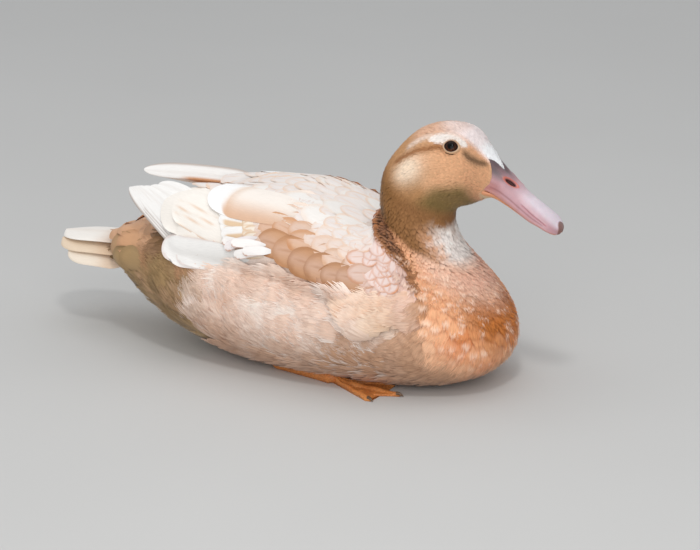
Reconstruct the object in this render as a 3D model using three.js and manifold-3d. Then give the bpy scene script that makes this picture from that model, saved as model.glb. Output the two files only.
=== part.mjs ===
// A heavy domestic duck hen, buff and white, sitting on the floor with its head up: a still, life-size model.
//
// Millimetres, +Z up. The duck faces +X and its left side is +Y. The origin is on the floor under the middle
// of the trunk, so the belly's flat and the soles of both feet rest at Z = 0.
//
// The trunk, neck and head are one closed loft, parted with thin cuts. Each wing, wing tip, tail, foot, eye
// and half of the bill is a solid of its own that keeps a small gap to what it grows from.
import * as THREE from "three";
import { mergeVertices } from "three/addons/utils/BufferGeometryUtils.js";
import Module from "manifold-3d";

const wasm = await Module();
wasm.setup();

// ---------------------------------------------------------------- driving dimensions

const GAP = 0.3; // between solids that touch
const SIDES = [
  { name: "left", side: 1 },
  { name: "right", side: -1 },
];

// The body's profile, from the tail root to the bill root. Each station is one section: the point where it
// meets the back or crown (dorsal) and the point where it meets the belly or throat (ventral), as [x, z]; its
// half width; how far up from the ventral point it is widest, as a share; and how square it is, 2 being oval.
const BODY = [
  { name: "tail root", dorsal: [-214, 82], ventral: [-210, 62], half: 22, level: 0.5, square: 2 },
  { name: "vent", dorsal: [-190, 97], ventral: [-188, 43], half: 43, level: 0.5, square: 2.1 },
  { name: "rump", dorsal: [-163, 109], ventral: [-164, 25], half: 57, level: 0.5, square: 2.2 },
  { name: "hips", dorsal: [-128, 123], ventral: [-130, 9], half: 70, level: 0.5, square: 2.3 },
  { name: "loins", dorsal: [-88, 134], ventral: [-88, -2], half: 78, level: 0.47, square: 2.4 },
  { name: "waist", dorsal: [-44, 138], ventral: [-38, -5], half: 83, level: 0.45, square: 2.45 },
  { name: "shoulders", dorsal: [-14, 133], ventral: [12, -5], half: 84, level: 0.45, square: 2.4 },
  { name: "keel", dorsal: [3, 127.5], ventral: [55, -4], half: 81, level: 0.45, square: 2.3 },
  { name: "crop", dorsal: [12, 124], ventral: [97, 2], half: 76, level: 0.45, square: 2.2 },
  { name: "breast", dorsal: [17, 122], ventral: [126, 16], half: 69, level: 0.46, square: 2.15 },
  { name: "upper breast", dorsal: [21, 121.5], ventral: [135.5, 38], half: 59, level: 0.48, square: 2.1 },
  { name: "neck root", dorsal: [23.5, 123], ventral: [127.5, 61], half: 47, level: 0.5, square: 2 },
  { name: "neck base", dorsal: [24.5, 128], ventral: [111, 83], half: 37, level: 0.5, square: 2 },
  { name: "lower neck", dorsal: [24, 136], ventral: [96, 100], half: 31.5, level: 0.5, square: 2 },
  { name: "neck", dorsal: [23.5, 146], ventral: [87, 116], half: 28.8, level: 0.5, square: 2 },
  { name: "throat", dorsal: [24.5, 158], ventral: [84.5, 130], half: 28, level: 0.5, square: 2 },
  { name: "nape", dorsal: [29.5, 171.5], ventral: [87, 139], half: 28.5, level: 0.48, square: 2.05 },
  { name: "hind crown", dorsal: [42, 188], ventral: [93, 143], half: 29, level: 0.46, square: 2.1 },
  { name: "crown", dorsal: [58, 202], ventral: [99, 145], half: 29, level: 0.44, square: 2.15 },
  { name: "temples", dorsal: [78, 208.5], ventral: [104, 147], half: 28, level: 0.42, square: 2.2 },
  { name: "brow", dorsal: [98, 206], ventral: [108, 149], half: 25, level: 0.42, square: 2.15 },
  { name: "forehead", dorsal: [113.5, 193.5], ventral: [112, 150.5], half: 18.5, level: 0.44, square: 2 },
  { name: "bill root", dorsal: [127.5, 177.5], ventral: [117, 152], half: 11.2, level: 0.5, square: 1.85 },
];
const RING_POINTS = 28;

// Where the loft is parted, as stations.
const NECK_STARTS_AT = 12;
const HEAD_STARTS_AT = 15.5;

// The folded wing lies on the upper side of the trunk.
const WING = {
  rear: 2.25, // stations at which it ends and starts
  front: 11.2,
  top: 0.12, // its upper edge, as an angle round the body from the dorsal line
  low: [1.14, 1.24, 1.27, 1.34, 1.37, 1.3, 1.1], // its lower edge, from the rear to the front
  thick: 13, // how far it stands off the trunk at its fullest
  edge: 1.6, // and at its edges
  napeShare: 0.55, // what it loses of that in its upper half towards the neck
  inset: 5, // how deep its blank reaches into the trunk before it is cut back
};

// The wing tip: the primaries, stacked like a closed fan that leaves the wing at its root.
const TIP = {
  rootTop: [-98, 36, 130],
  feathers: 7,
  thick: 2.2,
  rootThick: 7,
  bow: 5,
};

// Each side's own: its far end, its low root corner, and what share each feather is shorter than the next.
// The left fan is narrow, with its lower feathers the shorter; in the right one the upper feathers are.
const TIP_SHAPES = {
  left: { end: [-207, 22, 127], rootLow: [-100, 60, 108], shortening: 0.045, shortestOnTop: false },
  right: { end: [-187, 34, 129.5], rootLow: [-104, 74, 79], shortening: 0.06, shortestOnTop: true },
};

// The tail: a closed fan of stiff feathers, arched like a low roof.
const TAIL = {
  feathers: 9,
  root: [-196, 78],
  length: 80,
  droop: 5,
  wedge: 0.6, // how much shorter the outer feathers are
  rootHalf: 27,
  tipHalf: 33,
  arch: 20,
  rootThick: 7,
  thick: 2.6,
  scallop: 5,
};

// The bill, in its own frame: along from the gape, and up square to that.
const BILL = {
  gape: [113, 161.5],
  pitch: -24, // degrees
  length: 68,
  half: [15, 13.2, 11.8, 12.4, 13.6, 14, 13.6], // evenly along it
  edge: [0.5, 2.3, 1.2, 0, -0.9, -0.5, -1.8], // where the halves meet, over the gape line
  height: [23.5, 17.2, 14.8, 12.8, 11.4, 8.6, 7.2], // the upper half's, over that edge
  lowerDepth: [7.2, 1.8], // the lower half's, at its root and at its tip
};
const NOSTRIL = { along: 17.5, out: 6.2, up: 15.8, size: [5, 3, 1.8] };

// The eye's ball sits at a place on the head's surface, sunk so that only its cap shows.
const EYE = { station: 19.5, angle: 0.92, radius: 6.5, sunk: 4 };

// The foot: the shank lies flat and the webbed toes point forward, half under the flank.
const FOOT = {
  heel: [-48, 40],
  ankle: [6, 52],
  shank: 5,
  toes: [
    { angle: 28, length: 50 },
    { angle: 4, length: 60 },
    { angle: -18, length: 48 },
  ],
  toe: 3.4,
  web: 2.2,
};

// ---------------------------------------------------------------- small tools

const mix = (a, b, t) => a + (b - a) * t;
const clamp = (x, lo, hi) => Math.min(hi, Math.max(lo, x));
const smooth = (lo, hi, x) => {
  const t = clamp((x - lo) / (hi - lo), 0, 1);
  return t * t * (3 - 2 * t);
};
const radians = (degrees) => (degrees * Math.PI) / 180;
const signedPower = (x, p) => Math.sign(x) * Math.abs(x) ** p;
const vector = (x, y, z) => new THREE.Vector3(x, y, z);
const range = (n) => [...Array(n).keys()];

/** A smooth curve through evenly spaced values, read at t from 0 to values.length - 1. */
function through(values, t) {
  const last = values.length - 1;
  const i = clamp(Math.floor(t), 0, last - 1);
  const s = t - i;
  const [p0, p1, p2, p3] = [i - 1, i, i + 1, i + 2].map((k) => values[clamp(k, 0, last)]);
  const [m1, m2] = [(p2 - p0) / 2, (p3 - p1) / 2];
  const [s2, s3] = [s * s, s * s * s];
  return (2 * s3 - 3 * s2 + 1) * p1 + (s3 - 2 * s2 + s) * m1 + (3 * s2 - 2 * s3) * p2 + (s3 - s2) * m2;
}

/** A closed surface through rings of points, each ring a list of Vector3, with a flat cap at both ends. */
function loft(rings) {
  const around = rings[0].length;
  const points = rings.flat();
  const centre = (ring) => ring.reduce((sum, p) => sum.add(p), vector(0, 0, 0)).divideScalar(around);
  points.push(centre(rings[0]), centre(rings.at(-1)));
  const [startCap, endCap] = [points.length - 2, points.length - 1];
  const lastRing = (rings.length - 1) * around;
  const index = [];
  for (let k = 0; k < around; k++) {
    const next = (k + 1) % around;
    for (let r = 0; r < rings.length - 1; r++) {
      const [a, b, c, d] = [r * around + k, r * around + next, (r + 1) * around + next, (r + 1) * around + k];
      index.push(a, b, c, a, c, d);
    }
    index.push(startCap, next, k, endCap, lastRing + k, lastRing + next);
  }
  return new THREE.BufferGeometry().setFromPoints(points).setIndex(index);
}

/** A closed slab over a grid: at(u, v) gives the middle of the slab, its normal and its thickness there. */
function slab(across, along, at) {
  const rings = range(along + 1).map((j) => {
    const spots = range(across + 1).map((i) => at(i / across, j / along));
    const moved = (spot, side) => spot.point.clone().addScaledVector(spot.normal, (side * spot.thick) / 2);
    const face = (side) => spots.map((spot) => moved(spot, side));
    return [...face(1), ...face(-1).reverse()];
  });
  return loft(rings);
}

/** A geometry as a manifold-3d solid, turned so that its faces point out. */
function solid(geometry) {
  const bare = geometry.clone();
  for (const name of Object.keys(bare.attributes)) if (name !== "position") bare.deleteAttribute(name);
  const merged = mergeVertices(bare, 1e-4);
  const triVerts = new Uint32Array(merged.index.array);
  const vertProperties = merged.attributes.position.array;
  const build = () => new wasm.Manifold(new wasm.Mesh({ numProp: 3, vertProperties, triVerts }));
  const made = build();
  if (made.volume() >= 0) return made;
  for (let i = 0; i < triVerts.length; i += 3) triVerts.subarray(i, i + 3).reverse();
  return build();
}

/** A manifold-3d solid as a geometry. */
function geometryOf(made) {
  const mesh = made.getMesh();
  return new THREE.BufferGeometry()
    .setAttribute("position", new THREE.BufferAttribute(new Float32Array(mesh.vertProperties), 3))
    .setIndex(new THREE.BufferAttribute(new Uint32Array(mesh.triVerts), 1));
}

/** The largest separate piece of a solid, which drops crumbs that a cut leaves. */
const largest = (made) => made.decompose().sort((a, b) => b.volume() - a.volume())[0];

// ---------------------------------------------------------------- the body's loft

const station = (key, t) => through(BODY.map((s) => s[key]), t);
const stationPoint = (key, t) => [0, 1].map((k) => through(BODY.map((s) => s[key][k]), t));

/** The body's surface at station t and angle round from the dorsal line, grown outward by grow. */
function bodyPoint(t, angle, grow = 0) {
  const [dx, dz] = stationPoint("dorsal", t);
  const [vx, vz] = stationPoint("ventral", t);
  const height = Math.hypot(dx - vx, dz - vz);
  const level = station("level", t);
  const power = 2 / station("square", t);
  const [ux, uz] = [(dx - vx) / height, (dz - vz) / height];
  const reach = (Math.cos(angle) >= 0 ? 1 - level : level) * height + grow;
  const up = signedPower(Math.cos(angle), power) * reach;
  const side = signedPower(Math.sin(angle), power) * (station("half", t) + grow);
  const [cx, cz] = [mix(vx, dx, level), mix(vz, dz, level)];
  return vector(cx + ux * up, side, Math.max(cz + uz * up, -Math.max(grow, 0)));
}

/** The outward normal of the body's surface. */
function bodyNormal(t, angle) {
  const step = 0.01;
  const along = bodyPoint(t + step, angle).sub(bodyPoint(t - step, angle));
  const round = bodyPoint(t, angle + step).sub(bodyPoint(t, angle - step));
  return along.cross(round).normalize();
}

function bodySolid(grow = 0) {
  const ring = (t) => range(RING_POINTS).map((k) => bodyPoint(t, (2 * Math.PI * k) / RING_POINTS, grow));
  return solid(loft(range(BODY.length).map(ring)));
}

/** The plane of station t, as the normal that points to the head and its offset. */
function stationPlane(t) {
  const [dx, dz] = stationPoint("dorsal", t);
  const [vx, vz] = stationPoint("ventral", t);
  const normal = vector(-(vz - dz), 0, vx - dx).normalize();
  if (normal.z < 0) normal.negate();
  return { normal: normal.toArray(), offset: normal.dot(vector(dx, 0, dz)) };
}

/** What of a solid lies past a station's plane, to the head (+1) or the tail (-1), half a gap from it. */
function beyond(made, t, towards) {
  const { normal, offset } = stationPlane(t);
  return made.trimByPlane(normal.map((n) => n * towards), offset * towards + GAP / 2);
}

// ---------------------------------------------------------------- wings and tail

/**
 * How far the folded wing stands off the trunk, at u down its breadth and v from its rear to its front. The
 * long feathers over the wing tip's root keep the rear end high in the wing's upper half.
 */
function wingSwell(u, v) {
  const across = Math.sin(Math.PI * u ** 0.9) ** 0.7;
  const rear = mix(0.75, 0.12, smooth(0.35, 0.7, u));
  const along = mix(rear, 1, smooth(0, 0.3, v)) * (1 - 0.88 * smooth(0.74, 1, v));
  const nape = 1 - WING.napeShare * smooth(0.12, 0.5, v) * (1 - smooth(0.35, 0.75, u));
  return WING.edge + (WING.thick - WING.edge) * across * along * nape;
}

function wingBlank(side) {
  const [across, along] = [10, 18];
  const rings = range(along + 1).map((j) => {
    const v = j / along;
    const low = through(WING.low, v * (WING.low.length - 1));
    const spots = range(across + 1).map((i) => {
      const u = i / across;
      const rear = WING.rear + 0.9 * u ** 2; // the lower feathers end further forward
      return { u, t: mix(rear, WING.front, v), angle: mix(WING.top, low, u) };
    });
    const outer = spots.map(({ u, t, angle }) => bodyPoint(t, side * angle, wingSwell(u, v)));
    const inner = spots.map(({ t, angle }) => bodyPoint(t, side * angle, -WING.inset)).reverse();
    return [...outer, ...inner];
  });
  return solid(loft(rings));
}

/** The wing tip as one slab between two root corners, its end stepped feather by feather. */
function wingTip({ name, side }) {
  const { rootTop, feathers, thick, rootThick, bow } = TIP;
  const { end, rootLow, shortening, shortestOnTop } = TIP_SHAPES[name];
  const [top, low, tip] = [rootTop, rootLow, end].map(([x, y, z]) => vector(x, side * y, z));
  const normal = low.clone().sub(top).cross(tip.clone().sub(top)).normalize();
  if (normal.y * side < 0) normal.negate();
  return solid(
    slab(feathers * 3, 5, (u, v) => {
      const feather = Math.min(Math.floor(u * feathers), feathers - 1);
      const within = u * feathers - feather;
      const rank = shortestOnTop ? feathers - 1 - feather : feather;
      const reach = 1 - shortening * (rank + 2.2 * (within - 0.45) ** 2);
      const root = top.clone().lerp(low, u);
      const fanned = tip.clone().lerp(low, u * 0.12);
      const point = root.lerp(fanned, v * reach);
      point.addScaledVector(normal, bow * Math.sin(Math.PI * clamp(u * 0.8 + 0.1, 0, 1)) * (1 - v));
      return { point, normal, thick: mix(rootThick, thick, smooth(0, 0.8, v)) };
    }),
  );
}

function tail() {
  const [rootX, rootZ] = TAIL.root;
  return solid(
    slab(TAIL.feathers * 3, 4, (u, v) => {
      const across = 2 * u - 1;
      const within = (u * TAIL.feathers) % 1;
      const scallop = TAIL.scallop * (2 * within - 1) ** 2;
      const reach = (TAIL.length - scallop * v) * (1 - TAIL.wedge * Math.abs(across) ** 1.3);
      const y = across * mix(TAIL.rootHalf, TAIL.tipHalf, v ** 0.8);
      const x = rootX - reach * v;
      const z = rootZ - TAIL.droop * v - TAIL.arch * Math.abs(across) ** 1.3;
      const slope = (1.3 * TAIL.arch * Math.sign(across) * Math.abs(across) ** 0.3) / TAIL.tipHalf;
      const normal = vector(0, slope, 1).normalize();
      return { point: vector(x, y, z), normal, thick: mix(TAIL.rootThick, TAIL.thick, smooth(0, 0.6, v)) };
    }),
  );
}

// ---------------------------------------------------------------- bill and eyes

/** A point of the bill's frame in the duck's: along the bill, to the left, and up square to it. */
function billPoint(along, y, up) {
  const [c, s] = [Math.cos(radians(BILL.pitch)), Math.sin(radians(BILL.pitch))];
  return vector(BILL.gape[0] + along * c - up * s, y, BILL.gape[1] + along * s + up * c);
}

/** The bill's half breadth, where its halves meet, and its upper half's height, at s from 0 to 1. */
const billHalf = (s) => through(BILL.half, s * (BILL.half.length - 1));
const billEdge = (s) => through(BILL.edge, s * (BILL.edge.length - 1));
const billHeight = (s) => through(BILL.height, s * (BILL.height.length - 1));
const lowerDepth = (s) => mix(...BILL.lowerDepth, 1 - (1 - s) ** 2);
const roundEnd = (s) => Math.sqrt(clamp(1 - (Math.max(s - 0.84, 0) / 0.16) ** 2, 0.02, 1));

function billHalfSolid(upper) {
  const arch = range(13).map((k) => (Math.PI * k) / 12);
  const length = BILL.length * (upper ? 1 : 0.965);
  const rings = range(17).map((j) => {
    const s = mix(-0.14, 1, (j / 16) ** 0.85);
    const at = clamp(s, 0, 1);
    const half = Math.max(billHalf(at) * roundEnd(at), 1.5) * (upper ? 1 : 0.9);
    const height = upper ? billHeight(at) * mix(0.45, 1, roundEnd(at)) : lowerDepth(at);
    return arch.map((a) => {
      const rise = Math.sin(a) ** 0.85 * height;
      const up = billEdge(at) + (upper ? GAP / 2 + rise : -GAP / 2 - rise);
      return billPoint(s * length, half * Math.cos(a), up);
    });
  });
  return solid(loft(rings));
}

/** The pit of one nostril: a long, narrow egg that lies along the bill. */
function nostril(side) {
  const { along, out, up, size } = NOSTRIL;
  const pit = new THREE.SphereGeometry(1, 8, 6).scale(...size).rotateY(-radians(BILL.pitch - 12));
  const { x, y, z } = billPoint(along, side * out, up);
  return solid(pit.translate(x, y, z));
}

function upperBill() {
  return SIDES.reduce((bill, { side }) => bill.subtract(nostril(side)), billHalfSolid(true));
}

function eyeBall(side, grow = 0) {
  const { station: t, angle, radius, sunk } = EYE;
  const centre = bodyPoint(t, side * angle).addScaledVector(bodyNormal(t, side * angle), -sunk);
  const ball = new THREE.SphereGeometry(radius + grow, 14, 10).rotateX(Math.PI / 2);
  return solid(ball.translate(...centre.toArray()));
}

// ---------------------------------------------------------------- feet

/** A tapered bar that lies on the floor between two [x, y] points. */
function floorBar(from, to, fromRadius, toRadius, grow) {
  const [start, end] = [vector(...from, 0), vector(...to, 0)];
  const direction = end.clone().sub(start).normalize();
  const across = vector(-direction.y, direction.x, 0);
  const steps = [-1, -0.6, 0, 1, 1.6, 2];
  const rings = steps.map((s) => {
    const cap = s < 0 ? Math.sqrt(1 - s * s * 0.98) : s > 1 ? Math.sqrt(1 - (s - 1) ** 2 * 0.98) : 1;
    const radius = mix(fromRadius, toRadius, clamp(s, 0, 1)) + grow;
    const base = start.clone().lerp(end, clamp(s, 0, 1));
    base.addScaledVector(direction, s < 0 ? s * radius : s > 1 ? (s - 1) * radius : 0);
    return range(10).map((k) => {
      const a = (2 * Math.PI * k) / 10;
      const point = base.clone().addScaledVector(across, Math.cos(a) * radius * cap);
      point.z = Math.max(radius * (0.75 + Math.sin(a) * cap), -grow);
      return point;
    });
  });
  return solid(loft(rings));
}

const mirrored = (side) => ([x, y]) => [x, side * y];

/** The shank, laid flat from the heel to the ankle. */
function leg(side, grow = 0) {
  const place = mirrored(side);
  return floorBar(place(FOOT.heel), place(FOOT.ankle), FOOT.shank + 1, FOOT.shank, grow);
}

/** Three toes fanned from the ankle, with the web between them. */
function foot(side, grow = 0) {
  const place = mirrored(side);
  const toeEnds = FOOT.toes.map(({ angle, length }) => {
    const a = radians(angle);
    return [FOOT.ankle[0] + length * Math.cos(a), FOOT.ankle[1] + length * Math.sin(a)];
  });
  const outline = new THREE.Shape();
  outline.moveTo(...place(FOOT.ankle));
  outline.lineTo(...place(toeEnds[0]));
  for (const [a, b] of [[0, 1], [1, 2]]) {
    const middle = [0, 1].map((k) => mix(FOOT.ankle[k], (toeEnds[a][k] + toeEnds[b][k]) / 2, 0.86));
    outline.quadraticCurveTo(...place(middle), ...place(toeEnds[b]));
  }
  outline.closePath();
  const settings = { depth: FOOT.web + 2 * grow, bevelEnabled: false, curveSegments: 4 };
  const web = solid(new THREE.ExtrudeGeometry(outline, settings).translate(0, 0, -grow));
  const radii = [FOOT.toe + 0.8, FOOT.toe * 0.7];
  const toe = (end) => floorBar(place(FOOT.ankle), place(end), ...radii, grow);
  return toeEnds.reduce((made, end) => made.add(toe(end)), web);
}

// ---------------------------------------------------------------- the group

const duck = new THREE.Group();

function add(name, made, colour, roughness = 0.8) {
  const material = new THREE.MeshStandardMaterial({ color: colour, roughness });
  const mesh = new THREE.Mesh(geometryOf(largest(made)), material);
  mesh.name = name;
  duck.add(mesh);
}

const COLOUR = {
  buff: 0xdda777,
  cream: 0xf3dcc4,
  white: 0xf7f1ea,
  bill: 0xd7a9a6,
  foot: 0xe08a3c,
  eye: 0x2a1710,
};

const body = bodySolid();
const grownBody = bodySolid(GAP);

let trunk = beyond(body, NECK_STARTS_AT, -1);
for (const { side } of SIDES) trunk = trunk.subtract(leg(side, GAP)).subtract(foot(side, GAP));
add("trunk", trunk, COLOUR.cream);
add("neck", beyond(beyond(body, NECK_STARTS_AT, 1), HEAD_STARTS_AT, -1), COLOUR.buff);

let head = beyond(body, HEAD_STARTS_AT, 1);
for (const { side } of SIDES) head = head.subtract(eyeBall(side, GAP));
add("head", head, COLOUR.buff);

add("bill_upper", upperBill().subtract(grownBody), COLOUR.bill, 0.4);
add("bill_lower", billHalfSolid(false).subtract(grownBody), COLOUR.bill, 0.4);
add("tail", tail().subtract(grownBody), COLOUR.white);

for (const { name, side } of SIDES) {
  add(`eye_${name}`, eyeBall(side), COLOUR.eye, 0.1);
  const wing = wingBlank(side);
  add(`wing_${name}`, wing.subtract(grownBody), COLOUR.buff);
  add(`wing_tip_${name}`, wingTip({ name, side }).subtract(grownBody).subtract(wing), COLOUR.white);
  add(`leg_${name}`, leg(side), COLOUR.foot, 0.6);
  add(`foot_${name}`, foot(side).subtract(leg(side, GAP)), COLOUR.foot, 0.6);
}

export default duck;
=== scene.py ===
"""A heavy domestic duck hen, buff and white, sitting on the floor: the looks, laid over the packed frame.

Lengths in this file are millimetres unless a comment says otherwise, and meshes are written in metres. The
duck faces +X, its left is +Y and the floor is Z = 0. A place on the body is a station t, from 0 at the tail
root to 22 at the bill root, and an angle a round from the dorsal line, positive on the left. A feather's own
places are u, from -1 to 1 across it, and v, from 0 at its root to 1 at its tip.
"""
import math
from types import SimpleNamespace

import bpy
import numpy as np
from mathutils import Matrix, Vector


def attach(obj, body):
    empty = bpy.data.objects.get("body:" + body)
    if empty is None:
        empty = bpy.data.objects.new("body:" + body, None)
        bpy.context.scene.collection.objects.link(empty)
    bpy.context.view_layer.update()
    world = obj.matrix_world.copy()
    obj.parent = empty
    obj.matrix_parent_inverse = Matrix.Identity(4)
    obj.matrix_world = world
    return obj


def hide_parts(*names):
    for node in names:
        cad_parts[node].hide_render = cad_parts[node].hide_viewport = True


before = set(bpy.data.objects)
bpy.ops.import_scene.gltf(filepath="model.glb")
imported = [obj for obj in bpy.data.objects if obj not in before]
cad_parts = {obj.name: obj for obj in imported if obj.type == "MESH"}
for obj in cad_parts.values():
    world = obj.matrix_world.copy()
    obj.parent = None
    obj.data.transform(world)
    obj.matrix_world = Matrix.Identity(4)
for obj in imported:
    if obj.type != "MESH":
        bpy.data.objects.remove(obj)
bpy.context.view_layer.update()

METRE = 0.001
BODY_NAME = "root"
SIDES = {"left": 1, "right": -1}
random = np.random.default_rng(20)


# ---- small tools

def smooth(lo, hi, x):
    s = np.clip((x - lo) / (hi - lo), 0, 1)
    return s * s * (3 - 2 * s)


def fall(lo, hi, x):
    return 1 - smooth(lo, hi, x)


def window(lo, hi, fade, x):
    """1 between lo and hi, falling to 0 over fade on either side."""
    return smooth(lo - fade, lo, x) * fall(hi, hi + fade, x)


def bump(x, middle, width):
    return np.exp(-(((x - middle) / width) ** 2))


def mix(a, b, share):
    return a + (b - a) * share


def blend(one, other, share):
    """One colour or point passing into another, where share says how much of the other."""
    return one + (other - one) * np.asarray(share, float)[..., None]


def stacked(*parts):
    """Points or map places from their coordinates."""
    return np.stack(np.broadcast_arrays(*parts), -1)


def dot(a, b):
    return (a * b).sum(-1)


def unit(v):
    return v / np.maximum(np.linalg.norm(v, axis=-1, keepdims=True), 1e-9)


def rgb(red, green, blue):
    """A colour as it looks on screen, from 0 to 255, turned into the linear light that shaders take."""
    c = np.array([red, green, blue]) / 255
    return np.where(c < 0.04045, c / 12.92, ((c + 0.055) / 1.055) ** 2.4)


def hermite(start, end, leave, arrive, s):
    """A curve from start to end whose slopes there are leave and arrive, at shares s of the way."""
    s2, s3 = s * s, s * s * s
    passed = 3 * s2 - 2 * s3
    return (1 - passed) * start + (s3 - 2 * s2 + s) * leave + passed * end + (s3 - s2) * arrive


def through(table, t):
    """A smooth curve through evenly spaced rows of a table, read at t from 0 to the last row."""
    last = len(table) - 1
    i = np.clip(np.floor(t).astype(int), 0, last - 1)
    s = t - i
    if table.ndim > 1:
        s = s[..., None]
    p0, p1, p2, p3 = (table[np.clip(i + k, 0, last)] for k in (-1, 0, 1, 2))
    return hermite(p1, p2, (p2 - p0) / 2, (p3 - p1) / 2, s)


LATTICE = np.random.default_rng(5).random((32, 32, 32))


def noise(p, size):
    """Smooth 3-D noise from 0 to 1, its lumps about size across."""
    q = p / size
    i = np.floor(q).astype(int)
    f = q - i
    f = f * f * (3 - 2 * f)
    total = 0
    for corner in np.ndindex(2, 2, 2):
        x, y, z = np.moveaxis((i + corner) % len(LATTICE), -1, 0)
        total = total + np.prod(np.where(corner, f, 1 - f), axis=-1) * LATTICE[x, y, z]
    return total


# ---- the body's shape

# The same stations as the solids have: dorsal x and z, ventral x and z, half width, level, squareness.
BODY = np.array([
    [-252, 76, -250, 64, 27, 0.5, 2.0],  # over the tail
    [-214, 82, -210, 62, 22, 0.5, 2.0],  # tail root
    [-190, 97, -188, 43, 43, 0.5, 2.1],  # vent
    [-163, 109, -164, 25, 57, 0.5, 2.2],  # rump
    [-128, 123, -130, 9, 70, 0.5, 2.3],  # hips
    [-88, 134, -88, -2, 78, 0.47, 2.4],  # loins
    [-44, 138, -38, -5, 83, 0.45, 2.45],  # waist
    [-14, 133, 12, -5, 84, 0.45, 2.4],  # shoulders
    [3, 127.5, 55, -4, 81, 0.45, 2.3],  # keel
    [12, 124, 97, 2, 76, 0.45, 2.2],  # crop
    [17, 122, 126, 16, 69, 0.46, 2.15],  # breast
    [21, 121.5, 135.5, 38, 59, 0.48, 2.1],  # upper breast
    [23.5, 123, 127.5, 61, 47, 0.5, 2.0],  # neck root
    [24.5, 128, 111, 83, 37, 0.5, 2.0],  # neck base
    [24, 136, 96, 100, 31.5, 0.5, 2.0],  # lower neck
    [23.5, 146, 87, 116, 28.8, 0.5, 2.0],  # neck
    [24.5, 158, 84.5, 130, 28, 0.5, 2.0],  # throat
    [29.5, 171.5, 87, 139, 28.5, 0.48, 2.05],  # nape
    [42, 188, 93, 143, 29, 0.46, 2.1],  # hind crown
    [58, 202, 99, 145, 29, 0.44, 2.15],  # crown
    [78, 208.5, 104, 147, 28, 0.42, 2.2],  # temples
    [98, 206, 108, 149, 25, 0.42, 2.15],  # brow
    [113.5, 193.5, 112, 150.5, 18.5, 0.44, 2.0],  # forehead
    [127.5, 177.5, 117, 152, 11.2, 0.5, 1.85],  # bill root
])
FIRST_STATION = -1
LAST_STATION = len(BODY) - 2
FLOOR = 0.4  # nothing of the coat comes lower


def body(t, a, grow=0.0):
    """The solids' outer surface at station t and angle a, grown outward by grow."""
    dx, dz, vx, vz, half, level, square = np.moveaxis(through(BODY, t - FIRST_STATION), -1, 0)
    height = np.hypot(dx - vx, dz - vz)
    ux, uz = (dx - vx) / height, (dz - vz) / height
    c, s = np.cos(a), np.sin(a)
    up = np.sign(c) * abs(c) ** (2 / square) * (np.where(c >= 0, 1 - level, level) * height + grow)
    side = np.sign(s) * abs(s) ** (2 / square) * (half + grow)
    z = vz + (dz - vz) * level + uz * up
    return stacked(vx + (dx - vx) * level + ux * up, side, np.maximum(z, FLOOR))


# The mantle's front edge, where it folds over the neck and the shoulder: its station at each angle.
FOLD_ANGLES = [0, 0.75, 1.0, 1.15, 1.29, 1.42, 1.5, 1.6, 1.9]
FOLD_STATIONS = [12.7, 12.7, 12.4, 11.95, 11.6, 11.1, 10.6, 10.0, 9.2]
WING_TOP = 0.12  # the wing's upper edge, as an angle
WING_LOW = np.array([1.14, 1.24, 1.27, 1.34, 1.37, 1.34, 1.3])  # its lower edge, from rear to front
WING_REAR = 2.25  # the station where it ends, at its top
WING_THICK = 12


def fold(a):
    return np.interp(abs(a), FOLD_ANGLES, FOLD_STATIONS)


def wing_place(t, a):
    """Where a place lies on the folded wing: down its breadth and forward from its rear, from 0 to 1."""
    a = abs(a)
    down = a / 1.25
    for _ in range(3):
        rear = WING_REAR + 0.9 * np.clip(down, 0, 1) ** 2
        forward = (t - rear) / (fold(a) - rear)
        down = (a - WING_TOP) / (through(WING_LOW, np.clip(forward, 0, 1) * 6) - WING_TOP)
    return down, forward


def swell(t, a, hang=0.0):
    """How far the folded wing and the mantle stand off the trunk. hang holds the wing's lower edge out."""
    down, forward = wing_place(t, a)
    upper = 0.4 + 0.6 * smooth(-0.25, 0.45, down)
    across = np.where(down < 0.45, upper, fall(0.82 + hang, 1.04 + hang, down))
    rear = 0.7 - 0.6 * smooth(0.35, 0.7, down) * (1 - hang)
    along = (rear + (1 - rear) * smooth(0, 0.3, forward)) * smooth(-0.06, 0.02, forward)
    collar = 1 - 0.75 * smooth(0.9, 1.35, abs(a)) * smooth(0.55, 0.9, forward)
    nape = 1 - 0.55 * smooth(0.12, 0.4, forward) * fall(0.5, 1.0, abs(a))
    front = 1 - 0.5 * smooth(0.96, 1.05, forward) if hang else fall(0.95, 1.015, forward)
    return WING_THICK * across * along * collar * nape * front


def relief(t, a):
    """The face's own modelling: brow, the hollows round and ahead of the eye, cheek and jaw."""
    a = abs(a)
    brow = 1.5 * bump(t, 19.5, 1.1) * bump(a, 0.56, 0.16)
    hollow = -1.1 * bump(t, 19.6, 0.9) * bump(a, 0.95, 0.24)
    lore = -1.2 * bump(t, 20.9, 0.5) * bump(a, 0.72, 0.2)
    cheek = 1.6 * bump(t, 18.6, 1.3) * bump(a, 1.55, 0.4)
    jaw = -1.2 * bump(t, 17.6, 1.6) * bump(a, 2.35, 0.25)
    return brow + hollow + lore + cheek + jaw


def coat(t, a):
    """How deep the coat lies over the skin."""
    down, forward = wing_place(t, a)
    sleek = window(0.02, 0.95, 0.04, forward) * fall(0.9, 1.02, down)
    sleek = np.maximum(sleek, window(0.5, 2.4, 0.6, t) * fall(1.5, 1.9, abs(a)))
    trunk = 4.4 - 1.0 * smooth(7.5, 9.5, t) - 0.8 * smooth(11.5, 13.5, t) - 1.9 * sleek
    return mix(trunk, 1.5, smooth(14.2, 16.5, t)) * (1 - 0.3 * smooth(20, 22, t))


def skin(t, a):
    return body(t, a, swell(t, a) + relief(t, a) - coat(t, a))


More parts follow.
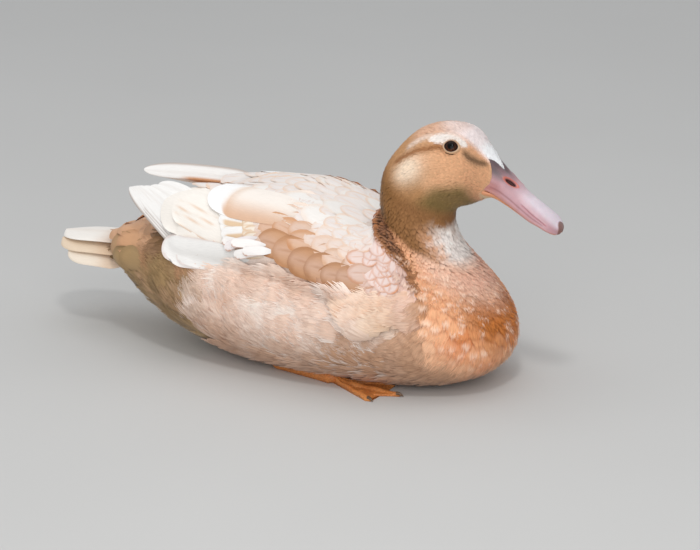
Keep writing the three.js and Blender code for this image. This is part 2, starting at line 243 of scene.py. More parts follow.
def rear_plate(t, a):
    """The wing's feathers follow this: at the rear it leaves the back, and rises over the rump."""
    b = abs(a)
    high = np.where(a > 0, 7, 14)  # the right wing lies higher than the left
    rise = high * fall(2.5, 4.7, t) * fall(0.4, 0.95, b) * smooth(0.02, 0.26, b)
    rear = 5 - 5 * smooth(0.8, 1.3, b) + rise
    return body(t, a, mix(rear, swell(t, a, hang=0.3) - coat(t, a), smooth(4.2, 5.4, t)))


def tail_plate(t, a):
    """The skin spread at the tail root, as wide as the tail that comes out under its coverts."""
    b = abs(a)
    spread = 9 * smooth(0.15, 0.9, b) * fall(1.7, 2.2, b) * fall(0.2, 1.6, t)
    return body(t, a, spread - coat(t, a))


def surface_frame(t, a, shape=skin):
    """A place on a surface, its change with station and with angle, and the outward normal."""
    e = 0.02
    along = (shape(t + e, a) - shape(t - e, a)) / (2 * e)
    round_ = (shape(t, a + e) - shape(t, a - e)) / (2 * e)
    return shape(t, a), along, round_, unit(np.cross(along, round_))


BILL_LINE_ANGLES = [0, 0.1, 0.3, 0.54, 0.63, 0.84, 1.15, 1.5, 1.85, 2.1]
BILL_LINE = [22.0, 21.95, 21.5, 21.25, 21.4, 21.55, 21.68, 21.68, 21.45, 21.25]


def bill_line(a):
    """The station at which the plumage ends against the bill, which has a wedge of brow feathers on top."""
    a = abs(a)
    return np.interp(a, BILL_LINE_ANGLES, BILL_LINE)


# The eye's ball, as in the solids.
EYE = SimpleNamespace(station=19.5, angle=0.92, radius=6.5, sunk=4.0, long=5.0, high=4.4)


def eye_frame(side):
    """The ball's centre, and its forward, upward and outward directions."""
    t, a = np.array(EYE.station), np.array(EYE.angle * side)
    place, along, _, out = surface_frame(t, a, body)
    forward = unit(along - dot(along, out) * out)
    upward = np.cross(out, forward) * side
    return place - out * EYE.sunk, forward, upward, out


# ---- markings

WHITE = rgb(245, 242, 238)


def painted(colour, *coats):
    """A colour under coats of paint. Each is a share and a colour, as on screen if it is a tuple."""
    for share, paint in coats:
        colour = blend(colour, rgb(*paint) if isinstance(paint, tuple) else paint, share)
    return colour


def markings(t, a, p):
    """The plumage's colour at a place on the body. p is that place, for the noise."""
    a = abs(a)
    blotch = noise(p, 16) - 0.5
    ahead = t - fold(a)  # of the mantle's fold, in stations
    mantle = fall(-0.85, -0.75, ahead) * fall(1.5, 1.75, a)
    # Painted shade low on the flank: brown towards the floor, reaching higher at the front.
    low_flank_shade = window(6.9, 9.2, 1.2, t) * smooth(1.42, 1.8, a)
    low_flank_shade = low_flank_shade + 0.8 * window(3.6, 8.5, 1.2, t) * smooth(1.6, 2.1, a)
    # Painted shade where the neck meets the mantle's fold: a brown band at the neck's foot, and a darker
    # line in the crease.
    foot = window(-0.9, 0.1, 0.35, ahead) * window(0.5, 1.6, 0.15, a)
    crease_shade = window(-0.35, 0.0, 0.2, ahead) * window(0.7, 1.38, 0.12, a)
    collar = window(-0.35, 0.1, 0.2, ahead)
    back = painted(blend(*mantle_tones(t, a), 0.3), (collar * 0.8, (226, 172, 130)))
    colour = painted(
        rgb(248, 216, 196),
        (smooth(-0.25, 0.3, blotch), (252, 234, 222)),
        (np.clip(low_flank_shade, 0, 1) * 0.8, (182, 134, 96)),
        (window(7.9, 8.9, 0.35, t) * window(1.2, 1.5, 0.12, a) * 0.7, (246, 224, 198)),
        (fall(3.35, 3.8, t + blotch + 0.2 * smooth(1.9, 2.5, a)), rump_markings(t, a, blotch)),
        (smooth(7.9, 9.3, t + 1.6 * blotch) * (1 - mantle), breast_markings(t, a, p)),
        (smooth(12.1, 12.9, t + blotch * 0.5) * (1 - mantle), neck_markings(t, a, p)),
        (foot * 0.8, (160, 106, 66)),
        (crease_shade * smooth(0.5, 0.7, noise(p + 60, 2.4)) * 0.75, (96, 60, 38)),
        (mantle * smooth(8.0, 9.5, t), back),
        (smooth(15.0, 16.4, t), head_markings(t, a, blotch)))
    return np.clip(colour * (1 + blotch[..., None] * 0.08), 0, 1)


def rump_markings(t, a, blotch):
    """Rump: orange brown above, with a dark painted shadow under the wing's rear, and olive brown round the
    vent and cream below, both darkened in part as painted shade.
    """
    return painted(
        rgb(208, 160, 122),
        (smooth(0.9, 1.35, a + 0.6 * blotch), (192, 146, 108)),
        # Painted shadow under the wing's rear, dark brown.
        (smooth(1.7, 2.5, t) * window(0.7, 1.15, 0.2, a) * 0.85, (92, 66, 32)),
        # Olive brown round the vent, and the cream below it, both darkened in part as painted shade.
        (smooth(1.2, 1.6, a + 0.6 * blotch), (164, 134, 94)),
        (smooth(2.3, 2.8, a), (196, 172, 140)))


def breast_markings(t, a, p):
    """Breast: orange buff in large blotches, deeper low down, and paler under the neck and by the flank."""
    return painted(
        rgb(226, 142, 88),
        (smooth(0.3, 0.65, noise(p, 22)), (242, 182, 138)),
        (smooth(9.2, 10.4, t) * fall(11.0, 12.0, t) * smooth(1.9, 2.7, a), (196, 118, 54)),
        (smooth(10.6, 11.8, t) * smooth(1.3, 2.0, a) * 0.6, (250, 220, 202)),
        (fall(8.6, 10, t) * 0.5, (240, 194, 160)))


def neck_markings(t, a, p):
    """Neck: brown, darkened in part as painted shade and more so behind, warmer in front at its foot, white
    feathers among the others below the throat.
    """
    fine = noise(p + 300, 4.5) - 0.5
    return painted(
        rgb(148, 104, 64),
        # Darker behind, as painted shade.
        (fall(0.8, 1.7, a), (140, 98, 54)),
        (smooth(1.7, 2.3, a) * fall(13.4, 14.6, t), (222, 168, 130)),
        (smooth(2.05, 2.7, a + fine * 0.5) * window(12.4, 13.9, 1.1, t + 1.2 * fine), (248, 240, 234)))


# The angle of the brown line through the eye, and half the breadth of the white stripe over it.
EYE_LINE_STATIONS = [16.5, 17.0, 17.5, 18.28, 19.0, 20.0, 20.43, 20.88, 21.3]
EYE_LINE = [0.72, 0.78, 0.86, 0.94, 0.93, 0.94, 1.0, 0.93, 0.76]
STRIPE_ANGLE = 0.72
STRIPE_STATIONS = [18.3, 18.55, 18.75, 19.28, 19.7, 20.05, 20.3]
STRIPE_HALF = [0.0, 0.07, 0.13, 0.165, 0.15, 0.10, 0.0]


def head_markings(t, a, blotch):
    """Head: buff, with a pinkish crown, a white stripe over the eye, a brown line through it and painted
    shade under the jaw.
    """
    crown = painted(rgb(220, 176, 146), (smooth(18.6, 20.2, t + blotch), (250, 238, 236)))
    eye_line = np.interp(t, EYE_LINE_STATIONS, EYE_LINE)
    half = np.interp(t, STRIPE_STATIONS, STRIPE_HALF)
    stripe = fall(0.4, 1.35, abs(a - STRIPE_ANGLE) / np.maximum(half, 0.02))
    stripe = stripe * smooth(0.01, 0.07, half)
    faint = bump(a, 0.64, 0.08) * window(17.5, 18.6, 0.3, t) * 0.5
    return painted(
        rgb(228, 176, 134),
        (fall(15.8, 18.0, t + 2 * blotch), (186, 138, 92)),
        # Painted shade under the jaw: olive brown over the lower cheek.
        (smooth(1.55, 2.1, a + 0.4 * blotch) * fall(19.2, 20.8, t) * 0.92, (126, 106, 62)),
        (fall(0.7, 1.0, a) * fall(18.0, 19.0, t), (196, 146, 98)),
        (fall(0.45, 0.75, a) * smooth(17.2, 18.2, t), crown),
        (fall(15.6, 17.2, t) * fall(0.7, 1.2, a) * 0.8, (172, 122, 74)),
        (np.minimum(1, 1.2 * bump(t, 16.95, 0.85) * bump(a, 1.12, 0.3)), (244, 220, 194)),
        (bump(a, eye_line, 0.095) * window(16.7, 19.2, 0.4, t) * 0.9, (152, 100, 58)),
        (bump(a, eye_line + 0.03, 0.13) * window(20.15, 21.1, 0.35, t) * 0.8, (84, 62, 42)),
        (np.maximum(stripe, faint) * 0.9, (246, 241, 236)),
        (smooth(20.5, 21.2, t) * fall(0.4, 0.62, a), (255, 255, 255)),
        (smooth(20.6, 21.4, t) * smooth(2.0, 2.4, a), (226, 204, 170)))


# At the wing's rear, at its front, low on it (darker there, in part as painted shade), on the shoulder, and
# on top of the back.
MANTLE_MIDDLES = [(218, 174, 140), (242, 218, 200), (182, 126, 78), (236, 214, 206), (242, 234, 228)]
MANTLE_RIMS = [(198, 140, 96), (226, 176, 136), (140, 88, 46), (212, 136, 82), (240, 208, 182)]


def mantle_tones(t, a):
    """The middle and the rim colour of the large feathers of the back, shoulder and wing."""
    a = abs(a)
    top = fall(0.42, 0.70, a - 0.15 * smooth(5.5, 6.5, t))
    # Low on the wing the tones are darker, in part as painted shade.
    low = smooth(0.75, 1.1, a) * 0.9
    shares = smooth(5.8, 8.2, t), low, smooth(8.2, 9.6, t) * (1 - top), top
    return [painted(rgb(*tones[0]), *zip(shares, tones[1:])) for tones in (MANTLE_MIDDLES, MANTLE_RIMS)]


# ---- mesh writing

def write_mesh(name, layers, quads, material, replaces=()):
    """One piece from its points and their colours, bake map and vane map.

    A row of quads is four indices, and a triangle repeats its last.
    """
    points, colours, bake, vane = layers
    mesh = bpy.data.meshes.new(name)
    points = np.ascontiguousarray(points.reshape(-1, 3) * METRE, np.float32)
    mesh.vertices.add(len(points))
    mesh.vertices.foreach_set("co", points.ravel())
    corners = np.where(quads[:, 3] == quads[:, 2], 3, 4)
    keep = np.ones_like(quads, bool)
    keep[:, 3] = corners == 4
    loops = quads[keep]
    mesh.loops.add(len(loops))
    mesh.loops.foreach_set("vertex_index", loops.astype(np.int32))
    mesh.polygons.add(len(quads))
    mesh.polygons.foreach_set("loop_start", (np.cumsum(corners) - corners).astype(np.int32))
    mesh.polygons.foreach_set("use_smooth", np.ones(len(quads), bool))
    for layer, uv in (("OFBake", bake), ("Vane", vane)):
        data = mesh.uv_layers.new(name=layer).data
        data.foreach_set("uv", uv.reshape(-1, 2)[loops].astype(np.float32).ravel())
    rgba = np.ones((len(points), 4), np.float32)
    rgba[:, :3] = np.clip(colours.reshape(-1, 3), 0, 1)
    mesh.color_attributes.new("Colour", "FLOAT_COLOR", "POINT").data.foreach_set("color", rgba.ravel())
    mesh.update(calc_edges=True)
    mesh.validate()
    mesh.materials.append(material)
    piece = bpy.data.objects.new(name, mesh)
    bpy.context.scene.collection.objects.link(piece)
    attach(piece, BODY_NAME)
    if replaces:
        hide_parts(*replaces)


def grid_quads(rows, cols, count=1, closed=False):
    """Faces of count grids of rows by cols points, laid out one after another."""
    r, c = np.meshgrid(np.arange(rows - 1), np.arange(cols if closed else cols - 1), indexing="ij")
    r, c = r.ravel(), c.ravel()
    n = (c + 1) % cols
    one = np.stack([r * cols + c, (r + 1) * cols + c, (r + 1) * cols + n, r * cols + n], -1)
    return (one[None] + (np.arange(count) * rows * cols)[:, None, None]).reshape(-1, 4)


def capped(values):
    """Rings of values with the mean of the first and of the last ring added at the end, for the two caps."""
    return np.concatenate([values.reshape(-1, values.shape[-1]), [values[0].mean(0), values[-1].mean(0)]])


def tube_quads(rows, cols, first):
    """Faces of one closed tube of rings, with a fan at both ends, for points laid out as capped() does."""
    k = np.arange(cols)
    n = (k + 1) % cols
    start, end, last = rows * cols, rows * cols + 1, (rows - 1) * cols
    fans = [np.stack([np.full(cols, start), k, n, n], -1),
            np.stack([np.full(cols, end), last + n, last + k, last + k], -1)]
    return np.concatenate([grid_quads(rows, cols, closed=True), *fans]) + first


def write_tubes(name, tubes, material, replaces=()):
    """A piece of closed tubes, each as rings of points, colours, bake map and, if it differs, vane map."""
    tubes = [(*tube, tube[-1])[:4] for tube in tubes]
    quads, first = [], 0
    for points, *_ in tubes:
        rows, cols = points.shape[:2]
        quads.append(tube_quads(rows, cols, first))
        first += rows * cols + 2
    layers = [np.concatenate([capped(rings) for rings in layer]) for layer in zip(*tubes)]
    write_mesh(name, layers, np.concatenate(quads), material, replaces)


def ring_map(rows, cols):
    """A plain map of rings, u round and v along."""
    u, v = np.meshgrid(np.arange(cols) / cols, np.linspace(0.02, 0.98, rows))
    return stacked(u, v)


def full_turn(cols):
    """Evenly spaced angles once round, as a row."""
    return np.linspace(0, 2 * np.pi, cols, endpoint=False)[None]


# ---- materials

class Shader:
    """A Principled material whose colour comes from the mesh, with helpers for its few nodes."""

    def __init__(self, name, **values):
        self.material = bpy.data.materials.new(name)
        self.material.use_nodes = True
        self.tree = self.material.node_tree
        self.bsdf = self.tree.nodes["Principled BSDF"]
        for key, value in values.items():
            self.bsdf.inputs[key.replace("_", " ")].default_value = value

    def add(self, kind, inputs=None, **settings):
        node = self.tree.nodes.new(kind)
        for key, value in settings.items():
            setattr(node, key, value)
        for key, value in (inputs or {}).items():
            if isinstance(value, bpy.types.NodeSocket):
                self.tree.links.new(value, node.inputs[key])
            else:
                node.inputs[key].default_value = value
        return node

    def link(self, socket, name):
        self.tree.links.new(socket, self.bsdf.inputs[name])

    def place(self):
        return self.add("ShaderNodeTexCoord").outputs["Object"]

    def noise(self, scale, detail=2.0, coordinates=None):
        values = {"Vector": coordinates or self.place(), "Scale": scale, "Detail": detail}
        return self.add("ShaderNodeTexNoise", values).outputs["Fac"]

    def bump(self, height, strength, depth):
        values = {"Height": height, "Strength": strength, "Distance": depth * METRE}
        self.link(self.add("ShaderNodeBump", values).outputs["Normal"], "Normal")

    def shade(self, factor, low, high):
        """Colours it as the mesh, times a number from low to high as factor goes from 0.25 to 0.75."""
        colour = self.add("ShaderNodeVertexColor", layer_name="Colour").outputs["Color"]
        values = {"Value": factor, "From Min": 0.25, "From Max": 0.75, "To Min": low, "To Max": high}
        span = self.add("ShaderNodeMapRange", values).outputs["Result"]
        scaled = self.add("ShaderNodeVectorMath", {0: colour, "Scale": span}, operation="SCALE")
        self.link(scaled.outputs["Vector"], "Base Color")


def mottled(name, scale, low, high, detail=2.0, **values):
    """A surface whose colour comes from the mesh, with a fine mottle between two strengths of it."""
    shader = Shader(name, **values)
    shader.shade(shader.noise(scale, detail), low, high)
    return shader


def horn(name, roughness):
    """Bill skin and claw: waxy, with a faint grain."""
    shader = mottled(name, 1400, 0.95, 1.05, detail=3, Roughness=roughness, Specular_IOR_Level=0.45,
                     Subsurface_Weight=0.08, Subsurface_Scale=0.002, Coat_Weight=0.15, Coat_Roughness=0.3)
    shader.bump(shader.noise(700, detail=3), 0.35, 0.2)
    return shader.material


def scutes(name):
    """Foot skin: small scales, a little darker between them."""
    shader = Shader(name, Roughness=0.5, Specular_IOR_Level=0.4)
    values = {"Vector": shader.place(), "Scale": 620.0}
    cells = shader.add("ShaderNodeTexVoronoi", values).outputs["Distance"]
    shader.shade(cells, 1.08, 0.8)
    shader.bump(cells, -0.6, 0.3)
    return shader.material


def plumage(name, barb, contrast, depth, roughness):
    """Feather: colour from the mesh, with fine barbs about barb wide that run along each vane."""
    shader = Shader(name, Roughness=roughness, Specular_IOR_Level=0.25, Sheen_Weight=0.2,
                    Sheen_Roughness=0.4)
    vane = shader.add("ShaderNodeUVMap", uv_map="Vane").outputs["UV"]
    values = {"Vector": vane, "Scale": (1 / barb, 0.08 / barb, 1)}
    stretched = shader.add("ShaderNodeMapping", values).outputs["Vector"]
    barbs = shader.noise(1.0, 3, stretched)
    shader.shade(barbs, 1 - contrast, 1 + contrast)
    shader.bump(barbs, 0.6, depth)
    return shader.material


SHORT = plumage("short_plumage", 0.5, 0.12, 0.25, 0.85)
HAIRY = plumage("hairy_plumage", 0.45, 0.14, 0.25, 0.85)
SLEEK = plumage("sleek_plumage", 0.55, 0.05, 0.12, 0.6)


# ---- how feathers lie

TUFT_PATCH = 0.003  # a tuft's share of its piece's bake map
COLOUR_ROW = 0.65  # how far along a feather the place lies that sets its colour
HEADING_SPREAD = 0.16  # how much a feather's heading varies to either side
LIFT_SHARE = 0.85  # how much of the coat's depth a feather's tip stands off, unless told otherwise
# ROOT_SHADE is painted shade at each feather's root, under the feathers that lie over it.
ROOT_SHADE = 0.16  # how much darker a feather is at its root
VANE_SPREAD = 400  # how far apart feathers may lie on the vane map, so that no two have the same barbs
MOST_STATIONS = 0.6  # the most that one row of a feather moves over the surface
MOST_ANGLE = 0.25


def kind(material, cols, rows, width, **values):
    """How one sort of feather is made, with its widths from root to tip.

    It is a sheet or, with strands, a loose ribbon for each column.
    """
    usual = dict(strands=False, round_tip=1.0, fringe=0.0, camber=0.06, tint=0.05, streak=0.03, rise=0.55)
    return SimpleNamespace(material=material, cols=cols, rows=rows, width=width, **{**usual, **values})


def hairy(cols, rows, width, **values):
    return kind(HAIRY, cols, rows, width, strands=True, **values)


def broad(cols, rows, width, **values):
    usual = dict(tint=0.01, streak=0.01, camber=0.02, rise=0.9)
    return kind(SLEEK, cols, rows, width, **{**usual, **values})


FUR = kind(SHORT, 3, 4, (0.5, 0.95, 1.0, 0.3), round_tip=0.5, fringe=0.12, tint=0.07)
NECK_FUR = kind(SHORT, 3, 5, (0.5, 0.9, 1.0, 0.8, 0.25), round_tip=0.5, fringe=0.2, tint=0.1)
LOOSE = hairy(17, 5, (0.5, 0.8, 1.0, 1.0, 0.9), fringe=0.24, tint=0.03, streak=0.06)
DOWNY = hairy(19, 6, (0.4, 0.75, 0.95, 1.05, 1.1, 1.0), fringe=0.24, tint=0.03, streak=0.05)
# The tufts over the wing's lower edge: as the downy ones, in the sleeker material.
BULGE = SimpleNamespace(**{**vars(DOWNY), "material": SLEEK})
BELLY = hairy(7, 5, (0.5, 0.85, 1.0, 1.0, 0.9), fringe=0.2, tint=0.04, streak=0.06)
CONTOUR = broad(13, 12, (0.15, 0.7, 0.9, 1.0, 1.0), tint=0.02, fringe=0.015, camber=0.03, rise=0.55)
COVERT = broad(17, 16, (0.1, 0.7, 0.95, 1.0, 1.0), tint=0.015, fringe=0.01)
TONGUE = broad(21, 30, (0.3, 0.85, 0.97, 1.0, 1.0, 0.92), camber=0.03, rise=0.7)
LONG = broad(21, 30, (0.1, 0.75, 0.95, 1.0, 1.0, 0.97))
SHEET = broad(21, 34, (0.1, 0.7, 0.95, 1.0, 1.0, 0.97))


def march(t, a, heading, length, rows, shape):
    """Each feather's way over a surface, row by row. heading turns it from straight back, up the flank."""
    kept = {key: [] for key in ("point", "ahead", "across", "normal", "t", "a")}
    turn = (heading * np.sign(a))[:, None]
    step = (length / (rows - 1))[:, None]
    ahead = None
    for _ in range(rows):
        point, along, round_, normal = surface_frame(t, a, shape)
        if ahead is None:
            back = -unit(along)
            ahead = back * np.cos(turn) + np.cross(normal, back) * np.sin(turn)
        ahead = unit(ahead - dot(ahead, normal)[:, None] * normal)
        across = np.cross(normal, ahead)
        for key, value in zip(kept, (point, ahead, across, normal, t, a)):
            kept[key].append(value)
        dt, da = surface_step(along, round_, ahead * step)
        t = t + np.clip(dt, -MOST_STATIONS, MOST_STATIONS)
        t = np.clip(t, FIRST_STATION + 0.02, LAST_STATION - 0.02)
        a = a + np.clip(da, -MOST_ANGLE, MOST_ANGLE)
    return SimpleNamespace(**{key: np.stack(values, 1) for key, values in kept.items()})


def reversed_path(path):
    """The same way walked from its other end."""
    flipped = {key: value[:, ::-1] for key, value in vars(path).items()}
    flipped["ahead"], flipped["across"] = -flipped["ahead"], -flipped["across"]
    return SimpleNamespace(**flipped)


def surface_step(along, round_, move):
    """The change of station and angle that moves a place by a small vector on the surface."""
    aa, rr, ar = dot(along, along) + 0.5, dot(round_, round_) + 0.5, dot(along, round_)
    ma, mr = dot(move, along), dot(move, round_)
    det = aa * rr - ar * ar
    return (ma * rr - mr * ar) / det, (mr * aa - ma * ar) / det


def drop(path, half, across, shape):
    """How far the surface lies below each row's plane, at each place across each feather."""
    point, along, round_, normal = surface_frame(path.t, path.a, shape)
    dt, da = surface_step(along, round_, path.across * half[:, None, None])
    t = np.clip(path.t[:, :, None] + dt[:, :, None] * across, FIRST_STATION, LAST_STATION)
    a = path.a[:, :, None] + np.clip(da[:, :, None] * across, -0.6, 0.6)
    below = dot(shape(t, a) - point[:, :, None], normal[:, :, None])
    limit = half[:, None, None]
    return np.clip(below, -0.8 * limit, 0.3 * limit)


def vane_grid(made):
    """How far across each point of a vane lies, by row and column, and each column's own place across."""
    v = np.linspace(0, 1, made.rows)
    width = np.interp(v, np.linspace(0, 1, len(made.width)), made.width)[:, None]
    if not made.strands:
        column = np.linspace(-1, 1, made.cols)
        return width * column, column
    column = np.repeat(np.linspace(-1, 1, made.cols), 2)
    ribbon = 1.5 / made.cols * np.sqrt(1 - 0.97 * v[:, None] ** 3)
    return width * column + ribbon * np.tile([-1, 1], made.cols), column


def per_column(made, count):
    """A random number from 0 to 1 for each column of each feather."""
    values = random.random((count, 1, made.cols))
    return np.repeat(values, 2, axis=2) if made.strands else values


def varied(values, count):
    """One of the values for each feather, varied by up to 12 per cent."""
    return np.broadcast_to(values, count) * (0.88 + 0.24 * random.random(count))


def lay(name, roots, size, made, lift=None, heading=0.0, paint=None, from_tip=False,
        shape=skin, patch=TUFT_PATCH, replaces=()):
    """A piece of many feathers from their roots, or from their tips, given as stations and angles.

    size is each one's length and half width, lift how far its tip stands off the skin, and paint gives the
    colours from a feather's place and the places on it.
    """
    t, a = roots
    count, v = len(t), np.linspace(0, 1, made.rows)[None, :, None]
    length, half = (varied(x, count) for x in size)
    heading = np.broadcast_to(heading, count) + HEADING_SPREAD * (random.random(count) * 2 - 1)
    path = march(t, a, heading + np.pi * from_tip, length, made.rows, shape)
    if from_tip:
        path = reversed_path(path)
    lift = varied(coat(t, a) * LIFT_SHARE if lift is None else lift, count)
    across, _ = vane_grid(made)
    points = vane_points(path, made, length, half, lift, shape)

    row = int(made.rows * COLOUR_ROW)
    place = SimpleNamespace(t=path.t[:, row, None, None], a=path.a[:, row, None, None],
                            p=path.point[:, row, None, None], ratio=(half / length)[:, None, None], way=path)
    colours = (paint or plain)(place, across[None] + 0 * v, v + 0 * across[None])
    tint = 1 + made.tint * (random.random((count, 1, 1)) * 2 - 1)
    tint = tint + made.streak * (per_column(made, count) * 2 - 1)
    colours = colours * (tint * (1 - ROOT_SHADE * fall(0, 0.4, v)))[..., None]

    bake = stacked(a / (2 * np.pi) + 0.5, t / LAST_STATION)[:, None, None]
    bake = np.clip(bake + patch * stacked(across[None] / 2.4, v - 0.5), 0, 1)
    offset = random.random((count, 1, 1)) * VANE_SPREAD
    vane = stacked(across[None] * half[:, None, None] + offset, v * length[:, None, None] + offset)

    layers = points, colours, bake, vane
    quads = grid_quads(made.rows, made.cols, count)
    if made.strands:
        layers = [split_strands(layer, made, count) for layer in layers]
        quads = grid_quads(made.rows, 2, count * made.cols)
    write_mesh(name, layers, quads, made.material, replaces)


def vane_points(path, made, length, half, lift, shape):
    """The points of every feather, by feather, row and column."""
    count, v = len(half), np.linspace(0, 1, made.rows)[None, :, None]
    length, wide, lift = (x[:, None, None] for x in (length, half, lift))
    across, column = vane_grid(made)
    ragged = made.fringe * per_column(made, count) * length
    shorter = (made.round_tip * wide * (1 - np.sqrt(1 - 0.98 * column ** 2)) + ragged) * v ** 2
    bend = drop(path, half, across, shape) - made.camber * wide * across ** 2
    rise = lift * v ** made.rise + bend - 0.25 * (1 - v)
    if made.strands:
        rise = rise + 0.12 * (per_column(made, count) - 0.5) * np.tile([-1, 1], made.cols)
    points = (path.point[:, :, None] + path.across[:, :, None] * (wide * across)[..., None]
              - path.ahead[:, :, None] * shorter[..., None] + path.normal[:, :, None] * rise[..., None])
    points[..., 2] = np.maximum(points[..., 2], FLOOR + 0.3 * random.random((count, 1, 1)))
    return points


def split_strands(values, made, count):
    """Reorders [feather, row, column pair] so that each strand's points follow one another."""
    width = values.shape[-1]
    values = np.broadcast_to(values, (count, made.rows, 2 * made.cols, width))
    values = values.reshape(count, made.rows, made.cols, 2, width)
    return values.transpose(0, 2, 1, 3, 4)


def scatter(stations, inside, gap, tries):
    """Roots spread evenly over the skin between two stations, gap(t, a) apart, where inside(t, a) holds."""
    t = mix(stations[0], stations[1], random.random(tries))
    a = (random.random(tries) * 2 - 1) * np.pi
    chosen = inside(t, a)
    t, a = t[chosen], a[chosen]
    point, along, round_, _ = surface_frame(t, a)
    near = gap(t, a)
    weight = np.linalg.norm(np.cross(along, round_), axis=-1) / near ** 2
    chosen = random.random(len(t)) < weight / np.quantile(weight, 0.99)
    t, a = t[chosen], a[chosen]
    taken = spaced(point[chosen], near[chosen])
    return np.stack([t[taken], a[taken]])


def spaced(points, gaps):
    """Which of the points to take, in their order, so that none lies within its gap of one taken before."""
    cells, taken = {}, []
    around = np.array(list(np.ndindex(3, 3, 3))) - 1
    keys = np.floor(points / gaps.max()).astype(int)
    for i, (key, here, gap) in enumerate(zip(keys, points.tolist(), gaps)):
        near = [other for cell in map(tuple, key + around) for other in cells.get(cell, ())]
        if all(math.dist(here, other) > gap for other in near):
            cells.setdefault(tuple(key), []).append(here)
            taken.append(i)
    return taken


# ---- how feathers are coloured

def plain(place, u, v):
    return markings(place.t, place.a, place.p) + 0 * u[..., None]


def along_way(place, u, v):
    """The markings row by row, so that one short feather passes from one marking into the next."""
    return markings(place.way.t, place.way.a, place.way.point)[:, :, None] + 0 * u[..., None]


def speckled(place, u, v):
    """Breast: hair-like, with soft pale ends to some of the feathers."""
    t = place.t
    chosen = (random.random(t.shape) < 0.42) * smooth(8.6, 9.6, t) * fall(11.8, 12.4, t)
    pale = chosen * window(0.62, 0.92, 0.14, v) * fall(0.3, 0.9, abs(u))
    return painted(plain(place, u, v), (pale * 0.65, (250, 220, 198)))


def soft_edged(place, u, v):
    """Flank: pink cream, some feathers with white edges and some with warmer middles."""
    t, a = place.t, abs(place.a)
    warm = smooth(0.45, 0.8, noise(place.p + 50, 14)) * (1 - abs(u))
    warm_tone = mix(rgb(212, 154, 108), rgb(243, 218, 200), 0.3)
    chosen = (random.random(t.shape) < 0.35) * smooth(3.6, 4.0, t) * smooth(1.25, 1.5, a)
    pale = chosen * smooth(0.7, 0.95, rim_share(place, u, v))
    return painted(plain(place, u, v), (warm * 0.45, warm_tone), (pale * 0.5, WHITE))


def lower_side(place, u):
    """u counted so that 1 is a feather's lower edge on either side of the body."""
    return -u * np.sign(place.a)


def rim_share(place, u, v):
    """0 in the middle of a feather and 1 at its round edge."""
    return np.hypot(u, np.maximum((v - 1) / place.ratio + 1, 0))


def rimmed(place, u, v):
    """Mantle and coverts: flat pale middles with soft warm rims, and thin shafts."""
    middle, rim = mantle_tones(place.t, place.a)
    strength = 0.4 + 0.6 * random.random(place.t.shape)
    low = 0.6 + 0.4 * smooth(-0.6, 0.6, lower_side(place, u))
    share = smooth(0.66, 1.0, rim_share(place, u, v)) * strength * low * smooth(0.15, 0.5, v)
    shaft = 0.4 * bump(u, 0, 0.04) * smooth(0.3, 0.5, v) * fall(0.8, 0.95, v)
    lilac = 0.2 * bump(u, 0, 0.5) * smooth(0.4, 0.8, v)
    beside_neck = smooth(-1.3, -0.5, place.t - fold(place.a)) * smooth(0.9, 1.2, abs(place.a))
    root = beside_neck * fall(0.1, 0.6, v)
    return painted(middle, (lilac, (228, 212, 212)), (np.maximum(share, shaft), rim), (root, (216, 146, 92)))


def rumped(place, u, v):
    """Rump: the markings' brown, a little paler over the middle of each feather and darker at its rim, as
    painted shade between the feathers.
    """
    rim = smooth(0.55, 0.95, rim_share(place, u, v))[..., None]
    return plain(place, u, v) * (1.06 - 0.14 * rim)


def barred(place, u, v):
    """Greater coverts: white, with a tan streak along the lower side."""
    tan = smooth(0.0, 0.4, lower_side(place, u)) * fall(0.86, 0.95, v)
    return painted(WHITE, (tan * 0.9, (226, 192, 152)))


def creamy(place, u, v):
    """The column of short feathers between the greater coverts and the patch of warm ones."""
    rim = np.maximum(0.7 * smooth(0.6, 0.97, rim_share(place, u, v)), 0.5 * bump(u, 0, 0.15))
    return painted(rgb(242, 230, 214), (rim, (218, 178, 136)))


def pale_streaks(place, u, v):
    """The flank's bulge over the wing's lower edge: cream, warmer towards the roots."""
    warmth = 0.6 * noise(place.p + 20, 12) + 0.5 * fall(0.3, 0.8, v)
    return painted(rgb(250, 224, 204), (np.clip(warmth, 0, 1), (228, 176, 134)),
                   (0.6 * smooth(1.3, 1.5, abs(place.a)), plain(place, u, v)))


def white_sheet(place, u, v):
    """Secondaries: white, with faint pinkish edges."""
    return painted(WHITE, (0.6 * smooth(0.86, 0.98, rim_share(place, u, v)), (226, 206, 198)))


def tertial(place, u, v):
    """Cream, with a few thin curved orange lines and an orange-brown lower edge of painted shade, paling to
    the tip.
    """
    number = np.arange(len(place.t))[:, None, None]
    low = lower_side(place, u)
    lines = sum(bump(low, where + 0.3 * (v - 0.7), 0.03) for where in (-0.1, 0.25, 0.5))
    lines = np.clip(lines, 0, 1) * window(0.5, 0.9, 0.08, v) * (number == 2)
    # Painted shade along the lower edges: broad on the second feather, a thin line on the third.
    brown = smooth(0.0, 0.95, low) * fall(0.8, 0.97, v) * (number == 1)
    edge = 0.8 * smooth(0.88, 0.99, low) * (number == 2) * fall(0.9, 1, v)
    return painted(rgb(250, 243, 234), (0.55 * lines, (226, 176, 128)),
                   (0.8 * np.maximum(brown, edge), (210, 158, 110)))


def back_white(place, u, v):
    """Short shoulder feathers over the back: white, with faint warm rims."""
    strength = 0.25 + 0.75 * random.random(place.t.shape)
    share = smooth(0.72, 0.96, rim_share(place, u, v)) * strength
    return painted(rgb(245, 240, 234), (share * 0.7, (242, 206, 176)))


